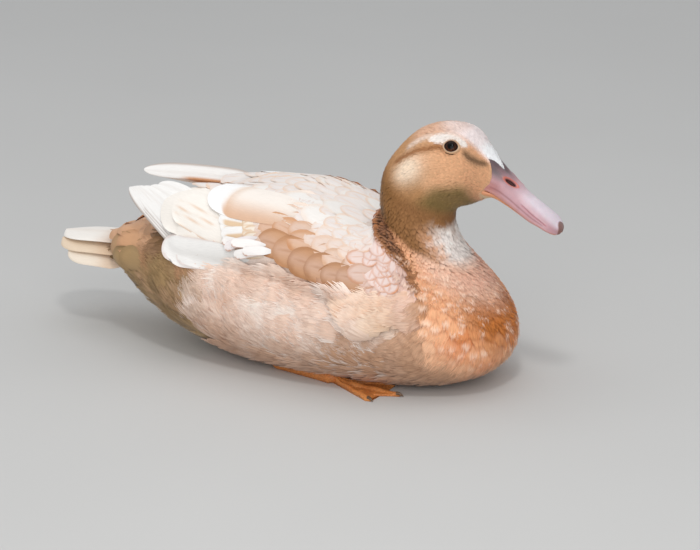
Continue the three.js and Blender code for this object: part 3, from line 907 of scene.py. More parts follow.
def tongue(place, u, v):
    """The longest shoulder feather: buff, with a white tip and a shaded lower edge."""
    return painted(
        rgb(250, 240, 230),
        (smooth(-0.3, 0.95, lower_side(place, u)), (222, 182, 152)),
        (0.4 * bump(v, 0.79, 0.04), (216, 176, 142)),
        (smooth(0.80, 0.84, v - 0.04 * u ** 2), (250, 248, 246)))


def ruffled(place, u, v):
    """A few disordered feathers, some lilac grey and some cream, with thin brown edges."""
    chosen = random.random(place.t.shape) < 0.5
    thin = smooth(0.84, 0.98, rim_share(place, u, v)) * smooth(0.1, 0.6, lower_side(place, u))
    return painted(rgb(248, 243, 239), (chosen, (240, 232, 230)), (0.8 * thin, (182, 122, 84)))


# ---- skin and coat

def add_skin():
    rows, cols = 240, 192
    t, a = np.meshgrid(np.linspace(0.01, LAST_STATION - 0.01, rows),
                       np.linspace(-np.pi, np.pi, cols, endpoint=False), indexing="ij")
    points = skin(t, a)
    shader = mottled("skin", 900, 0.9, 1.1, Roughness=0.8)
    tube = points, markings(t, a, points) * 0.8, stacked(a / (2 * np.pi) + 0.5, t / LAST_STATION)
    write_tubes("skin", [tube], shader.material, ("trunk", "neck", "head"))


def on_mantle(t, a):
    """True where the large feathers of the back and wing lie."""
    down, forward = wing_place(t, a)
    return (forward > 0.0) & (forward < 1.0) & (down < 0.97)


def lie(t, a):
    """How far the coat turns up from straight back: on the flanks it sweeps up over the wing's edge."""
    b = abs(a)
    down, _ = wing_place(t, a)
    free = np.maximum(smooth(1.05, 1.5, down), smooth(6.6, 7.6, t))
    flank = 0.62 * window(3.4, 8.4, 1.0, t) * window(1.45, 2.1, 0.35, b)
    rear = 0.35 * window(2.8, 4.4, 0.7, t) * window(1.3, 2.2, 0.3, b)
    return (flank + rear) * free + clumps(t, a)


def clumps(t, a):
    """A gentle wandering of the lie, so that neighbours bunch together."""
    return (noise(skin(t, a) + 70, 13) - 0.5) * 0.7


def away_from_eyes(t, a):
    """Each place's distance from the nearer eye's rim, negative inside it."""
    centre, forward, upward, _ = eye_frame(1)
    p = body(t, abs(a)) - centre
    return (np.hypot(dot(p, forward) / EYE.long, dot(p, upward) / EYE.high) - 1) * EYE.high


def head_coat():
    def gap(t, a):
        return mix(1.3, 1.0, smooth(18.5, 20.5, t))

    def inside(t, a):
        return (t < bill_line(a)) & (away_from_eyes(t, a) > 0.1)

    t, a = roots = scatter((15.2, 22), inside, gap, 260000)
    length = gap(t, a) * 3.6
    room = np.clip(away_from_eyes(t, a) - 0.2, 1.2, 6)
    ahead_of_eye = window(18.7, 21.5, 0.2, t) * (abs(abs(a) - 0.88) < 0.45)
    length = np.where(ahead_of_eye > 0.5, np.minimum(length, room), length)
    lay("head_feathers", roots, (length, gap(t, a) * 0.8), FUR, heading=clumps(t, a) * 0.6,
        paint=along_way)


def neck_coat():
    def inside(t, a):
        _, forward = wing_place(t, a)
        return (forward > 0.94) & (t > neck_edge(a)) & (t < 15.3)

    roots = scatter((10.6, 15.6), inside, lambda t, a: 1.9 + 0 * t, 120000)
    lay("neck_feathers", roots, (7.5, 1.6), NECK_FUR, heading=clumps(*roots) * 0.8,
        paint=along_way)


def neck_foot(a):
    """The station where the neck's short coat starts on the breast."""
    return 12.2 - 0.3 * np.cos(a)


def neck_edge(a):
    """Where the neck's short coat starts: at its foot, and along the mantle's fold on the sides."""
    return np.minimum(neck_foot(a), fold(a) - 0.55)


def breast_coat():
    def inside(t, a):
        return (~on_mantle(t, a)) & (t > 7.7) & (t <= neck_foot(a))

    roots = scatter((7.4, 12.6), inside, lambda t, a: mix(5.4, 4.2, smooth(9, 12, t)), 40000)
    for name, side in SIDES.items():
        near = roots[:, roots[1] * side > 0]
        upper = smooth(9, 12, near[0])
        lay(f"breast_feathers_{name}", near, (mix(21, 15, upper), mix(6.2, 5, upper)), LOOSE,
            heading=lie(*near), paint=speckled)


# How far down the wing the flank's coat starts, at each station.
FLANK_STATIONS = [4.5, 4.7, 5.2, 5.7]
FLANK_TOP = [0.9, 0.98, 0.98, 0.95]
UNDERSIDE = 2.4  # the angle at which flank passes into belly
VENT_ANGLE = 1.75  # the angle at which rump passes into vent


def flank_coat():
    def inside(t, a):
        return (wing_place(t, a)[0] > np.interp(t, FLANK_STATIONS, FLANK_TOP)) & (t > 2.5) & (t <= 7.8)

    roots = scatter((2.4, 8.0), inside, lambda t, a: mix(6.4, 9.0, smooth(2.2, 2.6, abs(a))), 40000)
    under = abs(roots[1]) >= UNDERSIDE
    for name, side in SIDES.items():
        t, a = near = roots[:, (roots[1] * side > 0) & ~under]
        bulge = window(7.0, 8.6, 0.8, t) * window(1.25, 1.6, 0.12, abs(a))
        lay(f"flank_feathers_{name}", near, (30, 8.5), DOWNY, lift=coat(t, a) * (LIFT_SHARE + 0.6 * bulge),
            heading=lie(t, a), paint=soft_edged)
    lay("belly_feathers", roots[:, under], (26, 9), BELLY)


# Where the tail coverts' tips lie on one side, as stations and angles.
TAIL_COVERT_TIPS = [[0.6, 1.55], [0.4, 1.2], [0.1, 0.8], [-0.15, 0.4], [-0.2, 0.03], [1.0, 1.4], [0.75, 1.0],
                    [0.5, 0.6], [0.4, 0.2]]


def rump_coat():
    def inside(t, a):
        return t < 2.6 + 1.2 * fall(0.9, 1.4, abs(a))

    roots = scatter((0.05, 4.4), inside, lambda t, a: mix(8.5, 6.5, smooth(1.2, 2.2, abs(a))), 24000)
    below = abs(roots[1]) >= VENT_ANGLE
    vent, rump = roots[:, below], roots[:, ~below & (roots[0] > 0.9)]
    lay("rump_feathers", rump, (30, 11), CONTOUR, lift=1.3, paint=rumped)
    tips = np.concatenate([np.multiply(TAIL_COVERT_TIPS, [1, side]) for side in SIDES.values()])
    lay("tail_coverts", tips.T, (34, 12), COVERT, lift=3.4, paint=rumped, from_tip=True, shape=tail_plate)
    lay("vent_feathers", vent, (27, 8), DOWNY, heading=clumps(*vent))


# How low the mantle's feathers reach beside the shoulder: the angle at each station.
MANTLE_STATIONS = [8.0, 9.0, 9.6, 10.4]
MANTLE_LOW = [0.98, 1.05, 1.2, 1.6]


def mantle_coat():
    def inside(t, a):
        back = (abs(a) < np.where(t < 5.6, 0.35, 0.62)) | (t > 8.0)
        _, forward = wing_place(t, a)
        low = np.interp(t, MANTLE_STATIONS, MANTLE_LOW)
        front = np.where(abs(a) < 1.1, 0.955, 0.97)
        return on_mantle(t, a) & back & (t > 3.6) & (forward < front) & (abs(a) < low)

    def breadth(t, a):
        shoulder = smooth(8.6, 10.2, t) * smooth(0.55, 0.85, abs(a))
        return mix(mix(11.5, 9.5, smooth(8.0, 10.5, t)), 6.2, shoulder)

    roots = scatter((3.5, 14.3), inside, lambda t, a: breadth(t, a) * 0.9, 30000)
    wide = breadth(*roots)
    lay("mantle_feathers", roots, (wide * 2.8, wide), CONTOUR, lift=0.8, heading=clumps(*roots) * 0.3,
        paint=rimmed, shape=rear_plate, patch=0.016)


# The lower edge of the wing's coverts: the angle at each station. Their rows' tips start on it.
COVERT_STATIONS = [4.7, 5.12, 5.6, 6.0, 6.5, 7.1, 7.6, 8.2, 8.9]
COVERT_EDGE = [0.84, 0.94, 0.99, 1.03, 1.05, 1.05, 1.03, 0.99, 0.92]
COVERT_ROWS = [5.02, 5.42, 5.86, 6.38, 6.96, 7.56, 8.16]
COVERT_STEP = 0.18  # the angle from one covert of a row to the next


def covert_tips():
    """Tips of the coverts, in staggered rows from the rear of the patch to the shoulder."""
    t, a = [], []
    for k, station in enumerate(COVERT_ROWS):
        low = np.interp(station, COVERT_STATIONS, COVERT_EDGE)
        angles = np.arange(low, 0.46, -COVERT_STEP) - COVERT_STEP / 2 * (k % 2)
        angles[0] = low
        lean = 0.75 * (low - angles) * (k < 3)  # the rear rows lean back as they rise
        t.append(station - 0.12 + 0.06 * (random.random(len(angles)) - 0.5) - lean)
        a.append(angles + 0.04 * (random.random(len(angles)) - 0.5))
    return stacked(np.concatenate(t), np.concatenate(a))


def wing_feathers(name, side, tips, size, paint, lift, heading=0.0, made=COVERT,
                  patch=0.02, shape=rear_plate, replaces=()):
    """Feathers of the folded wing from their tips, which are rows of station and angle."""
    t, a = np.array(tips, float).T
    lay(f"{name}_{side}", (t, a * SIDES[side]), size, made, lift, np.array(heading, float), paint,
        from_tip=True, shape=shape, patch=patch, replaces=replaces)


# Tips of the feathers that are placed one by one, as stations and angles.
SECONDARY_TIPS = [[2.72, 1.06], [3.12, 1.17]]
TERTIAL_TIPS = [[2.38, 0.52], [3.02, 0.84], [2.76, 0.50]]
GREATER_COVERT_TIPS = [[3.90, 0.63], [3.98, 0.72], [4.06, 0.81], [4.13, 0.90]]
RUFFLED_TIPS = [[4.24, 0.98], [4.32, 1.05], [4.46, 1.00], [4.54, 1.09], [4.7, 1.06]]
SCAPULAR_TIPS = [[4.2, 0.20], [4.9, 0.26], [5.5, 0.38], [5.75, 0.14], [6.3, 0.52], [6.5, 0.28], [7.1, 0.42],
                 [5.1, 0.50]]
TONGUE_TIP = [3.54, 0.42]


def wing_coat(side):
    """The folded wing, from the flight feathers laid against the flank to the long ones of the shoulder."""
    flat, tongue_lift = (1.0, 4.0) if side == "right" else (0.6, 1.8)  # the left side's feathers lie closer
    wing_feathers("secondaries", side, SECONDARY_TIPS, ([86, 72], [11, 9.5]), white_sheet, [6.5, 6.0],
                  [0.06, 0.02], SHEET, shape=skin)
    wing_feathers("tertials", side, TERTIAL_TIPS, ([96, 84, 92], [20, 13, 17]), tertial, [0.3, 0.9, 1.4],
                  [0.46, 0.10, 0.34], LONG)
    wing_feathers("greater_coverts", side, GREATER_COVERT_TIPS, (42, 5.2), barred, [2.5, 2.4, 2.3, 2.2],
                  patch=0.015)
    angles = np.arange(0.58, 1.14, 0.07)
    wing_feathers("median_coverts", side, stacked(4.02 + 0.6 * angles, angles), (30, 5.0), creamy, 1.9,
                  patch=0.015)
    wing_feathers("ruffled_feathers", side, RUFFLED_TIPS, (29, 4.2), ruffled, [4.4, 5.0, 5.6, 5.0, 4.6],
                  [-0.1, -0.25, 0.0, -0.3, -0.2], patch=0.01, shape=skin)
    tips = covert_tips()
    length = np.clip(room_ahead(tips) * 0.9, 14, 50)
    wing_feathers("wing_coverts", side, tips, (length, np.maximum(length * 0.25, 8)), rimmed, 1.1 * flat,
                  replaces=(f"wing_{side}",))
    length = np.minimum(room_ahead(SCAPULAR_TIPS), 58)
    wing_feathers("back_scapulars", side, SCAPULAR_TIPS, (length, length * 0.27), back_white, flat)
    wing_feathers("scapular_tongue", side, [TONGUE_TIP], (98, 18), tongue, tongue_lift, 0.03, TONGUE,
                  patch=0.03)
    flank_bulge(side)


def flank_bulge(side):
    """Three rows of downy feathers that swell up over the wing's lower edge."""
    t = np.repeat(np.arange(6.9, 9.2, 0.24), 3)
    row = np.arange(len(t)) % 3
    edge = np.interp(t, [6.9, 7.85, 9.2], [1.27, 1.17, 1.38]) + 0.1 * row
    wing_feathers("flank_bulge", side, stacked(t + 0.08 * row, edge)[::-1], (26, 7.5), pale_streaks,
                  2.2 - 0.6 * row, 0.45, BULGE, patch=TUFT_PATCH)


def room_ahead(tips):
    """How far it is from each tip forward to the mantle's fold."""
    t, a = np.transpose(tips)
    return np.linalg.norm(body(fold(a) - 0.5, a) - body(t, a), axis=-1)


# ---- flight feathers

def blades(name, spine, facing, half, paint, tip_round, ridge, camber, uneven=0.0, replaces=()):
    """Stiff feathers as closed thin vanes, from each one's four Bezier points and the way its top faces.

    half is the half width, and uneven says how far to one side the shaft lies.
    """
    rows, cols, thick = 26, 13, 0.3
    count = len(spine)
    v = 1 - (1 - np.linspace(0, 1, rows)) ** 1.5
    b = np.stack([(1 - v) ** 3, 3 * v * (1 - v) ** 2, 3 * v ** 2 * (1 - v), v ** 3])
    centre = np.einsum("kr,fkd->frd", b, spine)
    ahead = unit(np.gradient(centre, axis=1))
    across = unit(np.cross(np.broadcast_to(facing, (count, 3))[:, None], ahead))
    normal = np.cross(ahead, across)
    length = np.linalg.norm(np.diff(centre, axis=1), axis=-1).sum(1)[:, None]
    wide = np.broadcast_to(half, count)[:, None]
    from_end = (1 - v)[None] * length / (wide * tip_round)
    profile = np.sqrt(np.clip(1 - np.clip(1 - from_end, 0, 1) ** 2, 0.004, 1))
    profile = profile * (0.4 + 0.6 * smooth(0, 0.3, v))[None]

    top = np.linspace(-1, 1, cols)
    u = np.concatenate([top, top[::-1]])[None, None]
    face = np.concatenate([np.ones(cols), -np.ones(cols)])[None, None]
    shaft = ridge * bump(u, uneven, 0.07) * (1 - 0.8 * v[None, :, None])
    edge = np.where(abs(u) > 0.99, 0.2, 1.0)
    rise = face * (thick * edge + shaft) - camber * wide[..., None] * (u - uneven) ** 2
    points = (centre[:, :, None] + across[:, :, None] * (u * (wide * profile)[..., None])[..., None]
              + normal[:, :, None] * rise[..., None])
    v = v[None, :, None]
    number = np.arange(count)[:, None, None]
    colours = paint(number, u - uneven, v) + 0 * points
    bake = stacked((number + 0.5 + 0.44 * u * np.where(face > 0, 1, 0.9)) / count, v)
    vane = stacked(u * wide[..., None] + 60 * number, v * length[..., None])
    write_tubes(name, zip(points, colours, bake, vane), SLEEK, replaces)


def bezier(start, end, start_way, end_way):
    """Bezier points from start to end that leave and arrive in the given directions."""
    third = np.linalg.norm(end - start, axis=-1, keepdims=True) / 3
    return np.stack([start, start + unit(start_way) * third, end - unit(end_way) * third, end], 1)


def white_vane(number, u, v):
    """Primaries: white, the shaft faintly grey and the edges faintly darker, painted shade between the
    overlapping feathers.
    """
    return painted(WHITE, (0.4 * bump(u, 0, 0.08), (206, 190, 178)),
                   (0.6 * smooth(0.88, 1, abs(u)), (150, 124, 106)))


def brown_edged_vane(number, u, v):
    """The far wing's primaries: white, with an orange-brown strip along the lower ones."""
    strip = smooth(0.3, 0.6, u) * window(0.1, 0.6, 0.12, v)
    return painted(white_vane(number, u, v), (strip * 0.9, (206, 140, 84)))


TAIL_TONES = np.array([rgb(246, 240, 232), rgb(244, 234, 222), rgb(232, 210, 184), rgb(226, 200, 170),
                       rgb(240, 226, 208)])


def tail_vane(number, u, v):
    """Tail: white on top, then tan cream, then cream below, each darker towards its root."""
    tone = through(TAIL_TONES, abs(number / (TAIL.count - 1) * 2 - 1) * (len(TAIL_TONES) - 1))
    tan = fall(0.3, 0.6, v) * 0.45 + 0.12 * bump(u, 0, 0.2)
    return painted(tone, (tan, (206, 160, 118)))


# For each wing's primaries: the upper and lower corner of the line of roots and the tip, as in the solids,
# and the share of the way to the tip that the highest and the lowest feather go. places says where each one
# lies, from 1 at the lowest to 0 at the highest. gather draws the ends down toward the lower corner, and
# spread parts them.
PRIMARIES = {
    "right": SimpleNamespace(
        top=[-98, 36, 130], low=[-106, 66, 84], tip=[-187, 34, 129.5], reach=[0.64, 1.0], gather=0.0,
        places=[1, 0.95, 0.9, 0.84, 0.76, 0.62, 0.42, 0.2], half=6.0, facing=None, spread=9.0),
    "left": SimpleNamespace(
        top=[-98, 36, 125], low=[-100, 58, 109], tip=[-207, 22, 127], reach=[1.0, 0.8], gather=0.25,
        places=[1, 0.6, 0.4, 0.28, 0.18, 0.08, 0], half=4.5, facing=[0.1, -2.4, 2.4], spread=0.0),
}


def primaries(name, side):
    """The folded outer feathers, fanned from the wing's rear edge to the wing tip."""
    own = PRIMARIES[name]
    flip = np.array([1, side, 1])
    top, low, tip = (np.array(corner, float) * flip for corner in (own.top, own.low, own.tip))
    out = unit(np.cross(low - top, tip - top))
    out = out * np.sign(out[1] * side)
    k = np.array(own.places)[:, None]
    layer = np.linspace(0, 1, len(k))[:, None]
    root = top + (low - top) * k + out * (0.2 + 1.6 * layer)
    reach = mix(own.reach[0], own.reach[1], k)
    end = root + (tip + (low - tip) * k * own.gather * 0.5 - root) * reach + out * 0.8 * layer
    end = end + unit(top - low) * own.spread * layer
    way = unit(tip - root)
    facing = unit(np.array(own.facing) * flip) if own.facing else out
    paint = white_vane if name == "right" else brown_edged_vane
    blades(f"primaries_{name}", bezier(root, end, way + 0.12 * out, way - 0.08 * out), facing,
           mix(own.half + 3.0, own.half, k[:, 0]), paint, tip_round=4.0, ridge=0.25, camber=0.03,
           uneven=0.25 * side, replaces=(f"wing_tip_{name}",))


# The outermost feathers lie at this share of the half widths, and half is the middle one's half width.
TAIL = SimpleNamespace(count=5, outermost=0.78, root=(-190, 78), length=80, droop=5, root_half=25,
                       tip_half=30, arch=17, wedge=0.36, half=21)


def tail():
    c = np.linspace(-TAIL.outermost, TAIL.outermost, TAIL.count)
    reach = TAIL.length * (1 - TAIL.wedge * abs(c) ** 2.2)
    layer = 2.4 * (1 - abs(c))
    arch = TAIL.arch * abs(c) ** 1.3
    x, z = TAIL.root
    root = stacked(x, c * TAIL.root_half, z - arch + layer - 2)
    end = stacked(x - reach, c * TAIL.tip_half, z - TAIL.droop - 0.5 * arch + layer - 2)
    facing = unit(stacked(0, 0.9 * TAIL.arch * c / TAIL.tip_half, 1))
    way = unit(end - root)
    spine = bezier(root, end, way + [0, 0, 0.05], way - [0, 0, 0.04])
    blades("tail_feathers", spine, facing, TAIL.half * (1 - abs(c) / 3), tail_vane, tip_round=1.4, ridge=0.2,
           camber=0.12, replaces=("tail",))


# ---- bill

# In its own frame: along from the gape, and up square to that, as in the solids.
GAPE = (113, 161.5)
BILL_PITCH = np.radians(-24)
BILL_LENGTH = 68
BILL_HALF = np.array([15, 13.2, 11.8, 12.4, 13.6, 14, 13.6])
BILL_EDGE = np.array([0.5, 2.3, 1.2, 0, -0.9, -0.5, -1.8])  # where the halves meet, over the gape line
BILL_HEIGHT = np.array([23.5, 17.2, 14.8, 12.8, 11.4, 8.6, 7.2])  # the upper half's, over that edge
LOWER_DEPTH = (7.2, 1.8)
GAPE_ANGLE = 1.94  # where the gape lies round the head
NOSTRIL = SimpleNamespace(along=17.5, out=6.2, up=15.8, long=5.6, high=2.1, deep=2.2)


def bill_point(along, y, up):
    c, s = np.cos(BILL_PITCH), np.sin(BILL_PITCH)
    return stacked(GAPE[0] + along * c - up * s, y, GAPE[1] + along * s + up * c)


def round_end(s):
    return np.sqrt(np.clip(1 - (np.clip(s - 0.84, 0, 1) / 0.16) ** 2, 0.01, 1))


def upper_shell(s, w):
    """The upper bill's outside, s along it from the gape and w over it from the left edge to the right."""
    phi = np.pi * w
    half = through(BILL_HALF, s * 6) * round_end(s)
    height = through(BILL_HEIGHT, s * 6) * mix(0.45, 1, round_end(s))
    up = through(BILL_EDGE, s * 6) + abs(np.sin(phi)) ** 0.85 * height
    return bill_point(s * BILL_LENGTH, half * np.cos(phi), up)


def upper_bill_surface(s, w):
    """The shell, drawn back at its root to meet the line where the plumage ends."""
    joined = 0.24
    a = GAPE_ANGLE * (1 - 2 * w)
    start = body(bill_line(a), a, -0.9)
    before, after = bill_line(a) - 0.1, np.minimum(bill_line(a) + 0.1, LAST_STATION)
    away = unit(body(after, a, -0.9) - body(before, a, -0.9))
    end = upper_shell(joined + 0 * s, w)
    arrive = (upper_shell(joined + 0.01 + 0 * s, w) - end) / 0.01 * joined
    leave = (away + unit(end - start)) / 2 * np.linalg.norm(end - start, axis=-1, keepdims=True)
    bridge = hermite(start, end, leave, arrive, np.clip(s / joined, 0, 1)[..., None])
    return np.where((s < joined)[..., None], bridge, upper_shell(np.maximum(s, joined), w))


def nostril_distance(points):
    """1 at the rim of the nearer nostril, less inside it."""
    centre = bill_point(NOSTRIL.along, NOSTRIL.out, NOSTRIL.up)
    axis = unit(bill_point(1, -0.26, -0.16) - bill_point(0, 0, 0))
    p = points * np.array([1, 0, 1]) + abs(points) * np.array([0, 1, 0]) - centre
    along = dot(p, axis)
    off = np.sqrt(np.maximum(dot(p, p) - along ** 2, 0))
    return np.hypot(along / NOSTRIL.long, off / NOSTRIL.high)


def upper_bill():
    rows, cols, under = 190, 150, 14
    s, w = np.meshgrid(1 - (1 - np.linspace(0, 1, rows)) ** 1.35, np.linspace(0, 1, cols), indexing="ij")
    points = upper_bill_surface(s, w)
    normal = unit(np.cross(np.gradient(points, axis=0), np.gradient(points, axis=1)))
    normal = normal * np.sign(dot(normal, points - points.mean(1, keepdims=True)))[..., None]
    edge = np.minimum(w, 1 - w)
    r = nostril_distance(points)
    nail = fall(0.85, 1.1, np.hypot((1 - s) / 0.075, points[..., 1] / 5.8))
    groove = bump(edge, 0.16 - 0.04 * s, 0.014) * window(0.52, 0.84, 0.06, s)
    lip = bump(edge, 0.02, 0.035) * smooth(0.15, 0.4, s) * (1 - nail)
    pits = -NOSTRIL.deep * fall(0.55, 1.02, r) + 0.45 * bump(r, 1.28, 0.24)
    flank = -0.6 * bump(s, 0.42, 0.2) * bump(edge, 0.24, 0.1)
    rise = pits + 0.55 * nail - 0.55 * groove + 0.5 * lip + flank + 0.12 * (noise(points, 5) - 0.5)
    points = points + normal * rise[..., None]
    colours = bill_colours(s, edge, points, r, nail, groove)

    k = np.linspace(0, 1, under + 2)[1:-1]
    floor = points[:, -1:] * (1 - k)[None, :, None] + points[:, :1] * k[None, :, None]
    floor = floor + bill_point(0, 0, 1.2 * np.sin(np.pi * k))[None] - bill_point(0, 0, 0)
    points = np.concatenate([points, floor], 1)
    colours = np.concatenate([colours, np.broadcast_to(rgb(190, 120, 96), floor.shape)], 1)
    write_tubes("upper_bill", [(points, colours, ring_map(rows, cols + under))], horn("bill_skin", 0.38),
                ("bill_upper",))


def bill_colours(s, edge, p, r, nail, groove):
    """Bill: pink, lilac over the ridge, dusky at its base, with red-rimmed nostrils and a brown nail."""
    bloom = fall(0.12, 0.4, s + 0.1 * noise(p, 6)) * smooth(0.16, 0.3, edge)
    gape = fall(0.02, 0.34, s) * fall(0.06, 0.26, edge)
    colour = painted(
        rgb(188, 146, 152),
        (smooth(0.14, 0.36, edge) * smooth(0.25, 0.6, s), (218, 204, 212)),
        (bloom * 0.85, (64, 54, 56)),
        (gape * 0.8, (170, 106, 96)),
        (fall(0.02, 0.05, edge) * 0.75, (192, 138, 130)),
        (bump(edge, 0.075, 0.014) * window(0.06, 0.8, 0.05, s) * 0.6, (140, 84, 84)),
        (groove * 0.6, (176, 108, 116)),
        (nail * 0.9, (118, 72, 58)),
        (bump(r, 1.12, 0.22) * 0.8, (204, 100, 72)),
        (fall(0.72, 1.0, r), (58, 10, 4)))
    return colour * (0.95 + 0.1 * noise(p, 3))[..., None]


def lower_bill():
    rows, cols = 90, 48
    s = mix(-0.1, 0.975, (np.linspace(0, 1, rows)) ** 0.9)[:, None]
    phi = full_turn(cols)
    at = np.clip(s, 0, 1)
    half = through(BILL_HALF, at * 6) * round_end(at) * 0.9
    depth = mix(*LOWER_DEPTH, 1 - (1 - at) ** 2)
    below = np.minimum(np.sin(phi), 0)
    up = through(BILL_EDGE, at * 6) - abs(below) ** 0.85 * depth - 0.3
    points = bill_point(s * BILL_LENGTH, half * np.cos(phi), up)
    colours = blend(rgb(222, 150, 112), rgb(200, 168, 120), fall(0.0, 0.3, s) * abs(below))
    write_tubes("lower_bill", [(points, colours, ring_map(rows, cols))], horn("lower_bill_skin", 0.45),
                ("bill_lower",))


# ---- eyes

def eye(name, side):
    centre, forward, upward, out = eye_frame(side)
    rows, cols = 48, 64
    polar = np.linspace(0.001, np.pi * 0.75, rows)[:, None]
    spin = side * full_turn(cols)
    radial = np.sin(polar)
    direction = (out * np.cos(polar)[..., None] + forward * (radial * np.cos(spin))[..., None]
                 + upward * (radial * np.sin(spin))[..., None])
    points = centre + EYE.radius * direction
    reach = EYE.radius * radial + 0 * spin
    fibres = noise(stacked(np.cos(spin) * 6, np.sin(spin) * 6, reach), 1.0)
    colours = painted(
        rgb(30, 15, 8),
        # The iris is lighter brown only on its lower half: painted light, where light falls into the eye
        # from above.
        (fibres * (0.5 - 0.5 * np.sin(spin * side)), (88, 46, 24)),
        (smooth(4.1, 5.0, reach), (20, 11, 8)),
        (fall(2.3, 2.9, reach), (2, 2, 2)))
    shader = mottled(f"eye_{name}", 1500, 0.9, 1.1, Roughness=0.04, Specular_IOR_Level=0.15)
    write_tubes(f"eyeball_{name}", [(points, colours, ring_map(rows, cols))], shader.material,
                (f"eye_{name}",))
    eyelid(name, side)


# Rings of the eyelid from its inner edge outward: share of the eye's opening, and height over the ball.
LID_RINGS = np.array([[0.94, -0.5], [0.96, 0.15], [0.99, 0.35], [1.03, 0.38], [1.10, 0.25], [1.20, -0.3],
                      [1.34, -2.4]])
LID_COLOURS = np.array([rgb(24, 14, 12), rgb(44, 28, 22), rgb(98, 72, 56), rgb(186, 158, 134),
                        rgb(206, 170, 136), rgb(214, 172, 134), rgb(214, 172, 134)])


def eyelid(name, side):
    centre, forward, upward, out = eye_frame(side)
    rows, cols = 37, 96
    k = np.linspace(0, 6, rows)
    share, height = (through(LID_RINGS, k)[:, i][:, None] for i in (0, 1))
    spin = side * full_turn(cols)
    corner = 1 + 0.10 * abs(np.cos(spin)) ** 6
    x, y = EYE.long * np.cos(spin), EYE.high * np.sin(spin)
    rim = np.sqrt(np.maximum(EYE.radius ** 2 - x ** 2 - y ** 2, 1))
    z = rim + height + 0.3 * np.sin(spin * side) * smooth(1.0, 1.3, share)
    points = (centre + forward * (share * corner * x)[..., None] + upward * (share * corner * y)[..., None]
              + out * z[..., None])
    colours = np.broadcast_to(through(LID_COLOURS, k)[:, None], points.shape)
    upper = smooth(0.1, 0.8, np.sin(spin * side)) * window(0.98, 1.12, 0.05, share)
    colours = blend(colours, rgb(120, 84, 60), upper * 0.6)
    wrinkles = 0.06 * np.sin(spin * 40) * window(1.0, 1.2, 0.05, share)
    points = points + out * wrinkles[..., None]
    rings = ring_map(rows, cols)
    shader = mottled(f"eyelid_{name}", 2500, 0.88, 1.1, Roughness=0.5)
    write_mesh(f"eyelid_{name}", (points, colours, rings, rings), grid_quads(rows, cols, closed=True),
               shader.material)


# ---- feet

FOOT = SimpleNamespace(heel=(-48, 40), ankle=(6, 52), shank=5.0, toe=3.4, web=1.7,
                       angles=np.radians([28, 4, -18]), lengths=np.array([50, 60, 48]))


def tube(way, radii, around):
    """Rings round a smooth way of points, with rounded ends, sat on the floor where it would dip below."""
    way, radii = np.array(way, float), np.array(radii, float)
    ahead = unit(np.gradient(way, axis=0))
    across = unit(np.cross([0, 0, 1], ahead))
    above = np.cross(ahead, across)
    spin = -full_turn(around)
    points = (way[:, None] + across[:, None] * (radii[:, None] * np.cos(spin))[..., None]
              + above[:, None] * (radii[:, None] * np.sin(spin))[..., None])
    points[..., 2] = np.maximum(points[..., 2], 0.02)
    return points


def foot_point(side, r, angle):
    return stacked(FOOT.ankle[0] + r * np.cos(angle), side * (FOOT.ankle[1] + r * np.sin(angle)))


def foot_web(side):
    """The web and toes as one closed sheet, fanned from the ankle: its rings of points."""
    rows, cols = 70, 90
    angle = np.linspace(FOOT.angles[2] - 0.06, FOOT.angles[0] + 0.06, cols)[None]
    order = np.argsort(FOOT.angles)
    toes, lengths = FOOT.angles[order], FOOT.lengths[order]
    knots = np.interp(np.arange(5) / 2, np.arange(3), toes)
    reaches = np.interp(np.arange(5) / 2, np.arange(3), lengths) * [1, 0.86, 1, 0.86, 1]
    nearest = np.min(abs(angle[..., None] - toes), axis=-1)
    web_edge = np.interp(angle, knots, reaches) - 3 * np.sin(np.clip(nearest / 0.15, 0, 1) * np.pi / 2)
    reach = web_edge + 1.5 * bump(nearest, 0, 0.04)
    r = np.linspace(0.02, 1, rows)[:, None] * reach
    off = r * np.sin(nearest)
    girth = FOOT.toe * (1.15 - 0.45 * r / 60) * (1 + 0.12 * np.cos(r / 60 * 6 * np.pi))
    toe = girth * 1.25 * np.sqrt(np.clip(1 - (off / girth) ** 2, 0, 1))
    end = np.sqrt(np.clip(1 - np.clip((r / reach - 0.93) / 0.07, 0, 1) ** 2, 0.02, 1))
    web = FOOT.web * (1 + 0.1 * np.sin(r * 1.3)) * end
    top = np.maximum(web, toe * end) + 2.5 * fall(0, 14, r)
    xy = foot_point(side, r, angle + 0 * r)
    upper = np.concatenate([xy, top[..., None]], -1)
    lower = np.concatenate([xy, 0.02 + 0 * top[..., None]], -1)[:, ::-1]
    return np.concatenate([upper, lower], 1)[:, ::side]


def foot_skin(name, side):
    """The webbed foot, and the shank as a tube that runs into it."""
    points = foot_web(side)
    k = np.linspace(-0.12, 1.06, 40)
    heel, ankle = (np.array([x, side * y], float) for x, y in (FOOT.heel, FOOT.ankle))
    line = heel + (ankle - heel) * k[:, None]
    ends = np.sqrt(np.clip(1 - np.clip(abs(k - 0.47) / 0.59, 0, 1) ** 14, 0.03, 1))
    radius = (FOOT.shank + 1.3 * bump(k, 0, 0.12) + 0.9 * bump(k, 1, 0.12)) * ends
    shank = tube(np.concatenate([line, 0.8 * radius[:, None]], -1), radius, 28)
    tones = [painted(rgb(214, 140, 74), (noise(p, size), (190, 112, 56)))
             for p, size in ((points, 7), (shank, 5))]
    maps = [ring_map(*points.shape[:2]) * [1, 0.7], ring_map(*shank.shape[:2]) * [1, 0.25] + [0, 0.74]]
    write_tubes(f"foot_skin_{name}", zip((points, shank), tones, maps), scutes(f"foot_{name}"),
                (f"foot_{name}", f"leg_{name}"))
    claws(name, side)


